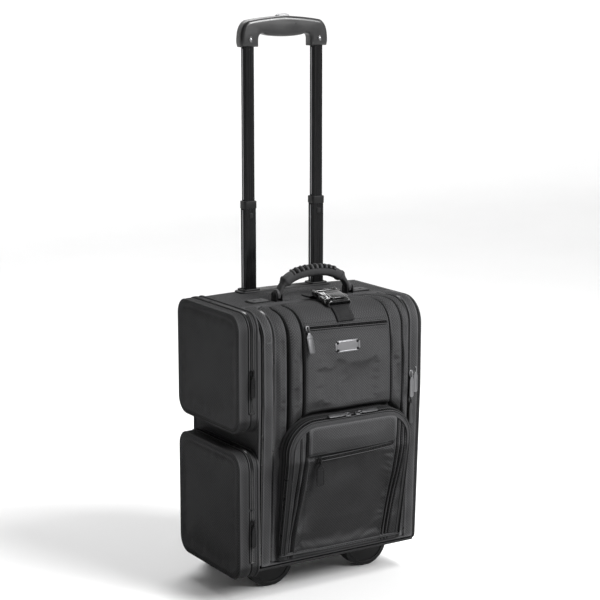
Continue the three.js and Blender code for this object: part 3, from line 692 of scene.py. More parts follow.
def settled(points, faces, free, cap, pressure=3.0, growth=0.003, bend=5.0):
    """Points of a padded skin after it has swelled as cloth; nothing moves further than cap.

    free holds 1 for slack points and 0 for sewn ones. The cloth is cut a little larger than its seams, so it
    puffs and wrinkles between them.
    """
    points = np.asarray(points, float)
    scene = bpy.context.scene
    mesh = bpy.data.meshes.new("settling")
    mesh.from_pydata((points / 1000).tolist(), [], faces)
    cloth = bpy.data.objects.new("settling", mesh)
    scene.collection.objects.link(cloth)
    pins = cloth.vertex_groups.new(name="sewn")
    held = np.round(1 - np.clip(free, 0, 1), 2)
    for weight in np.unique(held):
        pins.add(np.flatnonzero(held == weight).tolist(), float(weight), "REPLACE")
    modifier = cloth.modifiers.new("cloth", "CLOTH")
    settings = modifier.settings
    settings.vertex_group_mass = "sewn"
    settings.quality = 5
    settings.mass = 0.25
    settings.tension_stiffness = 12
    settings.compression_stiffness = 6
    settings.shear_stiffness = 4
    settings.bending_stiffness = bend
    settings.use_pressure = True
    settings.uniform_pressure_force = pressure
    settings.shrink_min = -growth
    settings.effector_weights.gravity = 0.0
    modifier.collision_settings.use_collision = False
    modifier.point_cache.frame_start = 1
    modifier.point_cache.frame_end = 20
    for step in range(1, 21):
        scene.frame_set(step)
    view = bpy.context.evaluated_depsgraph_get()
    moved_mesh = cloth.evaluated_get(view).data
    result = np.empty(len(points) * 3)
    moved_mesh.vertices.foreach_get("co", result)
    shift = result.reshape(-1, 3) * 1000 - points
    length = np.linalg.norm(shift, axis=1, keepdims=True)
    shift = shift * cap * np.tanh(length / cap) / np.maximum(length, 1e-6)
    bpy.data.objects.remove(cloth)
    bpy.data.meshes.remove(mesh)
    scene.frame_set(1)
    return points + shift


def settled_grid(grid, free, cap, **settings):
    rows, columns = grid.shape[:2]
    points = settled(grid.reshape(-1, 3), lattice(rows, columns), free.reshape(-1), cap, **settings)
    return points.reshape(rows, columns, 3)


def case_side_outline(inset=0.0):
    """The side panel in (Y, Z), anticlockwise seen from +X."""
    points = []
    for s in (90, 160, 240, 310, 380, 440, 480, 500):
        points.append(profile(s)[:2])
    for i in range(1, 9):
        points.append(profile(SHOULDER_Z + (TOP_S - SHOULDER_Z) * i / 8)[:2])
    points += [(y, TOP_Z) for y in (90, 130, 170, 205)]
    for cy, cz, r, start in ((BACK_Y - 28, TOP_Z - 28, 28, 90), (BACK_Y - 15, BASE_Z + 15, 15, 0)):
        points += [
            (cy + r * math.cos(math.radians(start - 15 * i)), cz + r * math.sin(math.radians(start - 15 * i)))
            for i in range(7)
        ]
        if start == 90:
            points += [(BACK_Y, z) for z in (480, 400, 320, 240, 160)]
    points += [(y, BASE_Z) for y in (200, 150, 100, 50)]
    foot = float(profile(BASE_Z + 12)[0])
    points += [
        (foot + 12 - 12 * math.sin(math.radians(18 * i)), BASE_Z + 12 - 12 * math.cos(math.radians(18 * i)))
        for i in range(6)
    ]
    points = np.array([(float(a), float(b)) for a, b in points])
    points[:, 1] -= 3.5 * smooth((points[:, 1] - SHOULDER_Z) / 50)
    if inset:
        edge = unit(np.roll(points, -1, 0) - np.roll(points, 1, 0))
        points = points + np.stack([edge[:, 1], -edge[:, 0]], -1) * inset
    return points


def pillow(rings, centre, back):
    """A closed panel: rings of points from the rim to the middle, a centre point, and a flat back point."""
    count = len(rings[0])
    points = np.concatenate([*rings, [centre], [back]])
    faces = lattice(len(rings), count, wrap_columns=True)
    last = (len(rings) - 1) * count
    middle = len(rings) * count
    faces += fan(last, count, middle) + fan(0, count, middle + 1, flip=True)
    return points, faces


def case_sides():
    for side, name, crown in ((-1, "left", 0.6), (1, "right", 3.0)):
        base = case_side_outline()
        middle = base.mean(0)
        rings = []
        for inset, out in ((0, -6.5), (0, -2.5), (0.7, -0.9), (2.4, 0.0)):
            ring = case_side_outline(inset)
            rings.append(np.column_stack([np.full(len(ring), side * (HALF_WIDTH + out)), ring]))
        inner = case_side_outline(2.4)
        for f in (0.97, 0.93, 0.87, 0.78, 0.66, 0.52, 0.36, 0.18):
            flat = middle + (inner - middle) * f
            wave = ripple(flat[:, 0], flat[:, 1], 120, 11) * 0.5 * smooth((1 - f) * 4)
            out = crown * (1 - f ** 3) + wave
            rings.append(np.column_stack([side * (HALF_WIDTH + out), flat]))
        centre = [side * (HALF_WIDTH + crown), *middle]
        back = [side * (HALF_WIDTH - 6.5), *middle]
        part = pillow(rings, centre, back)
        skin = Build(part).piece(f"{name}_side_skin", FABRIC, "case", "fabric", [f"{name}_side_panel"])
        route = resample(np.column_stack([np.full(len(base), side * HALF_WIDTH), base]), 4, closed=True)
        normal = np.broadcast_to([side, 0, 0], route.shape)
        edge = np.concatenate([route, normal], 1)
        Build(piping(edge, 1.8, True)).piece(f"{name}_side_piping", PIPING, "case", "piping")
        inner = case_side_outline(5.5)
        seam = np.column_stack([np.full(len(inner), side * (HALF_WIDTH + 0.25)), inner])
        seam = np.concatenate([seam, np.broadcast_to([side, 0, 0], seam.shape)], 1)
        Build(stitches(seam, closed=True)).piece(f"{name}_side_stitching", THREAD, "case", "piping")


def case_top_and_back():
    """One padded skin from the lid's edge over the top and down the back, and the zip across the top."""
    x = np.concatenate([np.linspace(-178, -150, 6), np.linspace(-140, 140, 29), np.linspace(150, 178, 6)])
    s = np.linspace(TOP_S + LID_TOP_Y - SHOULDER + 1, TOP_S + BACK_Y - SHOULDER - 28, 34)
    xx, ss = np.meshgrid(x, s, indexing="ij")
    edge = np.clip((HALF_WIDTH - np.abs(xx)) / 16, 0, 1)
    lift = -1.5 * (1 - edge) ** 2 + ripple(xx, ss, 90, 3) * 0.5
    top = on_front(xx, ss, lift)
    arc = np.radians(np.linspace(6, 90, 12))
    turn = np.stack(np.broadcast_arrays(
        x[:, None], (BACK_Y - 28 + 28 * np.sin(arc))[None], (TOP_Z - 28 + 28 * np.cos(arc))[None]), -1).copy()
    turn[..., 2] -= crown_drop(x[:, None]) * np.cos(arc)[None] ** 0.5
    z = np.linspace(TOP_Z - 36, 84, 60)
    xb, zb = np.meshgrid(x, z, indexing="ij")
    bulge = 2.6 * np.exp(-((np.abs(xb) - TUBE_X) / 22) ** 2) * smooth((540 - zb) / 60)
    channel = -1.6 * np.exp(-((np.abs(xb) - 34) / 3.0) ** 2) - 1.6 * np.exp(-((np.abs(xb) - 120) / 3.0) ** 2)
    rim = np.clip((HALF_WIDTH - np.abs(xb)) / 14, 0, 1)
    y = BACK_Y - 1.5 * (1 - rim) ** 2 + bulge + channel * smooth((500 - zb) / 40) * smooth((zb - 110) / 30)
    y = y + ripple(xb, zb, 110, 8) * 0.6
    back = np.stack([xb, y, zb], -1)
    grid = np.concatenate([top, turn, back], 1)
    skin = Build(shell(grid[::-1], 4.0)).piece(
        "top_and_back_skin", FABRIC, "case", "fabric", ["top_panel", "back_panel"])
    bored(skin, *tube_holes(TOP_Z - 20, TOP_Z + 20))
    across = np.linspace(-174, 174, 90)
    zip_line("top_zip", front_route(across, np.full(90, TOP_S + 190 - SHOULDER), 0.2), "case", width=9)
    for x0 in (-120, -34, 34, 120):
        z0 = np.linspace(492, 116, 60)
        y0 = BACK_Y - 1.1 + 2.6 * math.exp(-((abs(x0) - TUBE_X) / 22) ** 2)
        backward = np.broadcast_to([0.0, 1.0, 0.0], (60, 3))
        route = np.column_stack([np.full(60, x0), np.full(60, y0), z0, backward])
        Build(stitches(route)).piece(f"back_stitching_{x0 + 200}", THREAD, "case", "piping")


def case_base():
    """The stiffened bottom and the lip below the lid."""
    x = np.linspace(-176, 176, 45)
    y = np.linspace(20, 188, 26)
    xx, yy = np.meshgrid(x, y, indexing="ij")
    grid = np.stack([xx, yy, BASE_Z + 0.4 + 0.4 * ripple(xx, yy, 80, 5)], -1)
    skin = Build(shell(grid[::-1], -4.5)).piece("base_skin", FABRIC, "case", "fabric", ["base_board"])
    arc = np.radians(np.linspace(0, 90, 8))
    foot = float(profile(BASE_Z + 12)[0])
    lip_y = np.concatenate([foot + 5 - 3.5 * np.cos(arc), [foot + 20]])
    lip_z = np.concatenate([BASE_Z + 3.5 - 3.5 * np.sin(arc), [BASE_Z]])
    grid = np.stack(np.broadcast_arrays(x[:, None], lip_y[None], lip_z[None]), -1)
    Build(shell(grid, 2.5)).piece("front_lip", FABRIC_SMOOTH, "case", "fabric")


def lid_skin():
    """The opening front: the border between the two zips, and the tray behind the cover."""
    softened("main_lid", 1.5, 2, LINING, "main_lid_tray")
    top_s = TOP_S + LID_TOP_Y - SHOULDER
    parts = []
    for side in (-1, 1):
        s = np.linspace(LID_LOW + 1, top_s - 1, 150)
        u = np.linspace(0, 1, 9)
        uu, ss = np.meshgrid(u, s, indexing="ij")
        inner = (COVER_HALF + 4) * narrowing(ss)
        xx = side * (inner + (LID_HALF - 1 - inner) * uu)
        lift = 1.2 + 1.6 * np.sin(math.pi * uu) + 0.5 * ripple(xx, ss, 60, 21)
        grid = on_front(xx, ss, lift)
        parts.append(shell(grid if side < 0 else grid[::-1], 2.4))
    x = np.linspace(-128, 128, 60)
    u = np.linspace(0, 1, 4)
    xx, uu = np.meshgrid(x, u, indexing="ij")
    parts.append(shell(on_front(xx, top_s - 7 + 6 * uu, 1.2)[::-1], 2.4))
    x = np.linspace(-150, 150, 60)
    xx, uu = np.meshgrid(x, u, indexing="ij")
    parts.append(shell(on_front(xx, LID_LOW + 1 + 2.6 * uu, 1.2)[::-1], 2.4))
    skin = Build(*parts).piece("lid_border_skin", FABRIC, "main_lid", "fabric")
    for side, name in SIDES:
        s = np.linspace(SHOULDER_Z - 2, top_s - 12, 50)
        u = np.linspace(0.04, 0.96, 7)
        uu, ss = np.meshgrid(u, s, indexing="ij")
        inner = (COVER_HALF + 4) * narrowing(ss)
        xx = side * (inner + (LID_HALF - 1 - inner) * uu)
        grid = on_front(xx, ss, 2.2 + 1.6 * np.sin(math.pi * uu))
        patch = shell(grid if side < 0 else grid[::-1], 1.0)
        Build(patch).piece(f"corner_patch_{name}", FABRIC_SMOOTH, "main_lid", "fabric")
    x = np.linspace(-LID_HALF, LID_HALF, 100)
    Build(piping(front_route(x, np.full(100, LID_LOW + 1.6), 2.4), 2.1)).piece(
        "lid_foot_piping", PIPING, "main_lid", "piping")


def border_zips():
    """The outer zip between case and lid, and the inner zip between lid and cover."""
    s = np.linspace(74, TOP_S + 182 - SHOULDER, 220)
    for side, name in SIDES:
        x = np.full(220, side * (LID_HALF + 1.0))
        zip_line(f"outer_zip_{name}", front_route(x, s, 0.4), "case", width=5.5, welts=False)
    corner = np.linspace(0, math.pi / 2, 14)
    s_top = TOP_S + 74 - SHOULDER
    rise = np.linspace(80, s_top - 26, 150)
    left = (COVER_HALF + 2) * narrowing(rise)
    end = left[-1]
    x = np.concatenate([-left, -end + 22 * (1 - np.cos(corner)), np.linspace(-end + 24, end - 24, 60)])
    s = np.concatenate([rise, s_top - 26 + 22 * np.sin(corner), np.full(60, s_top - 4)])
    x = np.concatenate([x, (end - 22 * (1 - np.cos(corner)))[::-1], left[::-1]])
    s = np.concatenate([s, (s_top - 26 + 22 * np.sin(corner))[::-1], rise[::-1]])
    zip_line("inner_zip", front_route(x, s, 1.6), "main_lid", width=8)


# ---- front cover ------------------------------------------------------------------------------
def narrowing(s):
    """The cover and the lid's inner edge draw in towards the back of the top."""
    return 1 - 0.13 * smooth((profile(s)[0] - 40) / 45)


def pocket_edge(x):
    """Height at which the front pocket's arch meets the cover."""
    return arch_top(x, POCKET_HALF, POCKET_HIGH, POCKET_CORNER) + 2.0


# Across the cover from its middle: distance, and how far it stands off. The dips are the two fold lines.
COVER_SECTION = (
    (0, 19), (60, 18.6), (94, 18.4), (97.4, 17.6), (98.8, 15.2), (99.8, 7.0), (102.4, 7.0), (103.6, 12.4),
    (106, 14.6), (112, 15.2), (120, 14.0), (126, 13.0), (127.8, 12.0), (129.0, 9.6), (130.0, 3.6),
    (132.4, 3.6), (133.8, 7.6), (136, 9.4), (143, 8.6), (147, 5.4), (151, 1.0),
)
PANEL_RISE = 19  # the raised panel's stand-off, at its middle


def cover_height(x, s):
    """How far the cover stands off the profile: the middle panel and two flaps that overlap on each side."""
    side = np.abs(x)
    height = np.interp(side, *zip(*COVER_SECTION))
    y, z, _, _ = profile(s)
    fade = smooth((y + z - SHOULDER_Z + 60) / 150)
    cap = PANEL_RISE + (5.5 - PANEL_RISE) * fade
    height = height / PANEL_RISE * cap
    behind = smooth((s - pocket_edge(x)) / 10)
    low = 2.5 + 4.5 * pocket_growth(s)
    return height * behind + np.minimum(height, low) * (1 - behind)


def cover_x(x, s):
    """Where a point of the cover's pattern lies: wider left flaps, all leaning left over the shoulder."""
    x, y = np.broadcast_arrays(np.asarray(x, float), profile(s)[0])
    side = np.abs(x)
    seams = [0, 50, PANEL_HALF, FOLD_HALF, COVER_HALF + 1]
    turn = smooth((y - 15) / 55)
    left = np.interp(side, seams, [0, 46, 91.5, 120, COVER_HALF + 1])
    left = left + turn * np.interp(side, seams, [0, 3, 8, 5, 0])
    right = side - turn * np.interp(side, seams, [0, 8, 20, 13, 0])
    return np.where(x < 0, -left, right) * narrowing(s)


def cover_skin():
    spans = ((0, 93, 24), (95, 107, 19), (109, 124, 7), (125.5, 137, 18), (139, 150, 7))
    x = np.concatenate([np.linspace(*span) for span in spans])
    x = np.concatenate([-x[::-1], x[1:]])
    s = np.concatenate([np.linspace(COVER_LOW + 1, 278, 24), np.linspace(281, TOP_S + 28, 156)])
    xx, ss = np.meshgrid(x, s, indexing="ij")
    side = np.abs(xx)
    inner_flap = smooth((side - 103) / 6) * smooth((127 - side) / 5)
    flaps = inner_flap + smooth((side - 133) / 4) * smooth((149 - side) / 5)
    pucker = ripple(xx * 1.4, ss, 52, 31) * 1.6 * flaps
    pucker = pucker + ripple(xx + 0.6 * ss, ss * 0.5, 60, 36) * 0.9 * flaps
    pull = ripple(xx, ss, 90, 32) * 0.9 * smooth((95 - side) / 20)
    dent = -1.8 * np.exp(-((ss - pocket_edge(xx) - 8) / 14) ** 2) * (1 + 0.8 * ripple(xx, ss, 55, 33))
    end = -3.0 * smooth((ss - TOP_S - 14) / 14)
    grid = on_front(cover_x(xx, ss), ss, cover_height(xx, ss) + pucker + pull + dent + end)
    sewn = np.minimum(np.hypot((xx - 25) / 45, (ss - 478) / 26), np.abs(ss - 513) / 14)
    free = np.maximum(smooth((92 - side) / 30) * smooth(sewn - 0.6), flaps)
    free = free * smooth((ss - pocket_edge(xx) - 6) / 20) * smooth((TOP_S - 30 - ss) / 40)
    grid = settled_grid(grid, free, 1.8, pressure=1.0)
    skin = Build(shell(grid, 3.0)).piece("front_cover_skin", FABRIC, "front_cover", "fabric", ["front_cover"])


def cover_details():
    x = np.linspace(-86, 92, 70)
    s = np.linspace(515.2, 510.5, 70)
    lift = cover_height(x, s) + 0.6
    zip_line("panel_zip", front_route(x, s, lift), "front_cover", width=7.5)
    for side, name in SIDES:
        fold_shadow_strips = Build()
        for half, label in ((PANEL_HALF - 4.5, "panel"), (FOLD_HALF - 4.5, "fold")):
            x = np.full(110, side * half)
            s = np.linspace(float(pocket_edge(half + 4)) + 9, TOP_S + 20, 110)
            route = front_route(cover_x(x, s), s, cover_height(x, s) + 0.5)
            Build(stitches(route)).piece(f"{label}_stitching_{name}", THREAD, "front_cover", "piping")
            # Near-black tape laid along each fold line: painted shadow of the fold.
            x = np.full(110, side * (half + 6.2))
            route = front_route(cover_x(x, s), s, cover_height(x, s) + 0.3)
            fold_shadow_strips.add(flat_strip(route, 2.6, 1.2))
        fold_shadow_strips.piece(f"fold_shadow_tapes_{name}", TAPE, "front_cover", "zip_tape")
    for offset in (-7.5, 8.5):
        x = np.linspace(-86, 93, 60)
        s = np.linspace(515.2, 510.5, 60) + offset
        route = front_route(x, s, cover_height(x, s) + 0.5)
        Build(stitches(route)).piece(
            f"panel_zip_stitching_{int(offset > 0)}", THREAD, "front_cover", "piping")


def badge():
    """Blank riveted name plate with cut corners and a raised rim."""
    low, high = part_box("name_plate_blank")
    centre = np.array([(low.x + high.x) * 500, high.y * 1000, (low.z + high.z) * 500]) - ORIGIN
    tilt = math.radians(-6.7)
    outline = []
    for sx, sz in ((1, -1), (1, 1), (-1, 1), (-1, -1)):
        for i in range(7):
            angle = math.radians(15 * i)
            a = (27.5 - 5 * math.cos(angle), 11 - 4.5 * math.sin(angle))
            b = (27.5 - 5 * math.cos(math.pi / 2 - angle), 11 - 4.5 * math.sin(math.pi / 2 - angle))
            point = a if sx * sz < 0 else b
            outline.append((sx * point[0], sz * point[1]))
    matrix = Matrix.Translation(Vector(centre) + Vector((0, -0.2, 0))) @ Matrix.Rotation(tilt, 4, "X")
    plate = prism(np.array(outline), -1.9, 0.6, 0.5)
    rim_path = np.array([(x * 0.86, -1.9, z * 0.80) for x, z in outline])
    rim = sweep(resample(rim_path, 1.5, True), (0, -1, 0), circle(0.5, 8), closed=True)
    Build(moved(plate, matrix), moved(rim, matrix)).piece(
        "name_plate", SILVER, "front_cover", "silver_metal", ["name_plate_blank"])
    rivets = Build()
    for x in (-22, 22):
        for z in (-6.8, 6.8):
            rivets.add(moved(dome(2.9, 1.4), matrix @ Matrix.Translation((x, -1.9, z))))
    rivets.piece("name_plate_rivets", GUNMETAL, "front_cover", "zip_metal")


def dome(radius, height, count=20):
    """A rivet head or screw head that faces -Y."""
    rings = [(radius, 0.4), (radius, 0.0), (radius * 0.86, -height * 0.55), (radius * 0.5, -height * 0.9)]
    angles = turns(count)
    points = [np.stack([r * np.cos(angles), np.full(count, y), r * np.sin(angles)], -1) for r, y in rings]
    points = np.concatenate([*points, [(0, -height, 0)], [(0, 0.4, 0)]])
    faces = lattice(len(rings), count, wrap_columns=True)
    tip = len(rings) * count
    faces += fan(tip - count, count, tip) + fan(0, count, tip + 1, flip=True)
    return points, faces


# ---- front pocket -----------------------------------------------------------------------------
def pocket_growth(z):
    """0 at the foot of the cover, 1 where the pocket has its full depth."""
    return np.clip((np.asarray(z, float) - COVER_LOW) / 200, 0, 1)


def pocket_base_y(z):
    return LEAN * (LEAN_Z - z) / (LEAN_Z - BASE_Z) - 3.5 - 5.5 * pocket_growth(z)


def pocket_taper(z):
    """The pocket thins to almost nothing at its foot."""
    return 0.2 + 0.8 * pocket_growth(z)


def pocket_ring(inset, depth):
    """The pocket's outline drawn in by inset, at a distance out from the cover."""
    rim = (-POCKET_HALF + inset, POCKET_HALF - inset, POCKET_LOW - 4 + inset * 0.2, POCKET_HIGH - inset)
    flat = resample(rounded(*rim, POCKET_CORNER - inset, 14, 4), 4.0, closed=True)
    rim = (-POCKET_HALF, POCKET_HALF, POCKET_LOW - 4, POCKET_HIGH)
    flat = recounted(flat, len(resample(rounded(*rim, POCKET_CORNER, 14, 4), 4.0, closed=True)))
    y = pocket_base_y(flat[:, 1]) - depth * pocket_taper(flat[:, 1])
    return np.stack([flat[:, 0], y, flat[:, 1]], -1)


def pocket_arch(inset, depth, low):
    """The part of a pocket ring above low, from one foot round to the other, with outward directions."""
    arch = pocket_ring(inset, depth)
    arch = opened(arch[arch[:, 2] > low])
    outward = np.stack([
        np.sign(arch[:, 0]) * smooth((np.abs(arch[:, 0]) - 60) / 75), np.zeros(len(arch)),
        smooth((arch[:, 2] - 270) / 60)], -1)
    return arch, unit(outward + 1e-6)


def arch_top(x, half, high, corner):
    """Height of a round-shouldered arch at x."""
    beyond = np.clip(np.abs(x) - (half - corner), 0, corner)
    return high - corner + np.sqrt(np.maximum(corner ** 2 - beyond ** 2, 0))


def face_top(x):
    """Height of the top edge of the pocket's face at x."""
    return arch_top(x, POCKET_HALF - FACE_INSET, POCKET_HIGH - FACE_INSET, POCKET_CORNER - FACE_INSET)


def front_pocket():
    rings = [pocket_ring(i, d) for i, d in (
        (0, 0), (-0.6, 5), (0.2, 8.4), (1.2, 9.6), (0.2, 10.8), (0.0, 15), (0.6, 17.4), (1.8, 18.6),
        (1.4, 19.8), (2.6, 23.5), (5.0, 26.6), (9.0, 29.0), (13.5, 30),
    )]
    inner = [pocket_ring(i, d) for i, d in ((13.5, 27), (6.0, 22.5), (3.5, 15), (3.0, 0))]
    rings = rings + inner
    points = np.concatenate(rings)
    gusset = (points, lattice(len(rings), len(rings[0]), wrap_rows=True, wrap_columns=True))
    Build(gusset).piece("pocket_gusset", SHADED_GUSSET, "front_pocket", "fabric")

    half = POCKET_HALF - FACE_INSET
    u = np.concatenate([np.linspace(0, 76, 22), np.linspace(79, half, 44)])
    x = np.concatenate([-u[::-1], u[1:]])
    v = np.linspace(0, 1, 100)
    xx, vv = np.meshgrid(x, v, indexing="ij")
    top = face_top(xx)
    low = POCKET_LOW - 2
    zz = low + (top - low) * vv
    depth = pocket_face_depth(xx, zz, top)
    y = pocket_base_y(zz) - depth
    seam = np.minimum(np.minimum(zz - low, top - zz) / 25, (half - np.abs(xx)) / 14)
    crease = np.abs(zz - 279) / 12
    for line in POCKET_CREASES:
        crease = np.minimum(crease, np.abs(xx - crease_x(line, zz)) / 8)
    free = smooth(seam) * smooth(crease)
    grid = settled_grid(np.stack([xx, y, zz], -1), free, 2.2, pressure=1.5)
    skin = Build(shell(grid, 2.2)).piece(
        "front_pocket_face", FABRIC, "front_pocket", "fabric", ["front_pocket"])

    x = np.linspace(-97, 99, 60)
    xx, vv = np.meshgrid(x, np.linspace(0, 1, 24), indexing="ij")
    top = face_top(xx)
    foot = 282.5 + 6.0 * (xx + 80) / 174
    zz = foot + (top - 1.0 - foot) * vv
    y = pocket_base_y(zz) - pocket_face_depth(xx, zz, top) - 2.6 - 1.2 * np.sin(math.pi * vv) ** 0.6
    Build(shell(np.stack([xx, y + 1.6 * smooth((vv - 0.9) * 10), zz], -1), 1.2)).piece(
        "pocket_flap", FABRIC, "front_pocket", "fabric")

    arch, _ = pocket_arch(13.5, 30.2, POCKET_LOW + 6)
    edge = np.concatenate([arch, np.broadcast_to([0.0, -1, 0], arch.shape)], 1)
    Build(piping(edge, 1.3, False, 0.5)).piece("pocket_piping", PIPING, "front_pocket", "piping")
    for depth, label in ((9.6, "inner"), (18.6, "outer")):
        arch, up = pocket_arch(1.0, depth, POCKET_LOW + 4)
        Build(flat_strip(np.concatenate([arch, up], 1), 1.9, 0.7)).piece(
            f"pocket_band_{label}", TAPE, "front_pocket", "zip_tape")


# Creases in the pocket's face: x at the top, how far it moves outward by the foot, depth and width.
POCKET_CREASES = ((-100, -13, 10.0, 3.0), (-113, -6, 4.0, 2.0), (104, -11, 6.0, 2.2), (113, -13, 7.0, 2.4),
                  (121, -14, 4.5, 2.0))


def crease_x(line, z):
    return line[0] + line[1] * smooth((285 - np.asarray(z, float)) / 190)


def pocket_face_depth(x, z, top):
    """Stand-off of the pocket's face: taut at the arch, pleated at both sides, slack in the middle."""
    side = np.abs(x)
    down = smooth((330 - z) / 150)
    edge = np.clip((top - z) / 30, 0, 1)
    depth = POCKET_DEPTH * pocket_taper(z)
    crown = 2.4 * smooth(edge) * smooth((z - 90) / 60) * smooth((96 - side) / 70)
    slack = ripple(x, z, 85, 41) * 0.8 + ripple(x * 1.8, z, 40, 42) * 0.6 * smooth((side - 60) / 50)
    flap = 1.8 * smooth((z - 283) / 3) - 1.6 * np.exp(-((z - 279) / 4) ** 2)
    flap = flap * smooth((97 - side) / 3)
    total = depth + crown + slack * smooth(edge) + flap
    for line in POCKET_CREASES:
        away = x - crease_x(line, z)
        groove = line[2] * np.exp(-(away / line[3]) ** 2)
        total = total - groove * (0.15 + 0.85 * down) * np.minimum(depth / 16, 1)
        ridge = np.exp(-((np.abs(away) - 2.4 * line[3]) / (1.2 * line[3])) ** 2)
        total = total + 0.16 * line[2] * ridge * down * np.minimum(depth / 16, 1)
    return total


def on_pocket(x, z, lift):
    x = np.asarray(x, float)
    z = np.asarray(z, float)
    top = face_top(x)
    y = pocket_base_y(z) - pocket_face_depth(x, z, top) - lift
    points = np.stack([x, y, z], -1)
    return np.concatenate([points, np.broadcast_to([0.0, -1, 0.1], points.shape)], 1)


def pocket_details():
    x = np.linspace(-80, 90, 60)
    z = np.linspace(273.5, 279.5, 60)
    zip_line("slanted_zip", on_pocket(x, z, 0.4), "front_pocket", width=8)
    tapes = Build()
    edges = Build()
    for line in POCKET_CREASES:
        high = face_top(line[0]) - 4
        z = np.linspace(POCKET_LOW, float(high), 80)
        # Near-black tape along the bottom of each crease: painted shadow of the crease.
        tapes.add(flat_strip(on_pocket(crease_x(line, z), z, 0.1), line[3] * 0.8, 0.7))
        inside = crease_x(line, z) - np.sign(line[0]) * line[3] * 2.0
        edges.add(piping(on_pocket(inside, z, -0.3), 1.1))
    tapes.piece("pocket_crease_shadow_tapes", TAPE, "front_pocket", "zip_tape")
    edges.piece("pocket_crease_edges", FABRIC_SMOOTH, "front_pocket", "fabric")
    for side, name in SIDES:
        z = np.linspace(95, 326, 70)
        Build(stitches(on_pocket(np.full(70, side * 91.0), z, 0.3))).piece(
            f"pocket_face_stitching_{name}", THREAD, "front_pocket", "piping")
    arch, outward = pocket_arch(3.6, 23.6, POCKET_LOW + 6)
    up = unit(outward * 0.8 + np.array([0, -0.62, 0]))
    zip_line("arch_zip", np.concatenate([arch, up], 1), "front_pocket", width=7)


# ---- side pockets -----------------------------------------------------------------------------
POCKET_Y = (2, 236)
POCKET_SKIN_X = -222.2  # outer face of a side pocket's lid, before it swells
POCKET_LINING_X = -217.0  # back of the lid's panel
SIDE_POCKETS = {"upper": (330, 553, 5.0), "lower": (50, 293, 8.0)}  # lowest and highest Z, and bulge


def side_outline(low, high, inset, corner=30):
    points = rounded(POCKET_Y[0] + inset, POCKET_Y[1] - inset, low + inset, high - inset, corner - inset, 10)
    return resample(points, 5.0, closed=True)


def side_ring(low, high, inset, x):
    count = len(side_outline(low, high, 0))
    return np.column_stack([np.full(count, float(x)), recounted(side_outline(low, high, inset), count)])


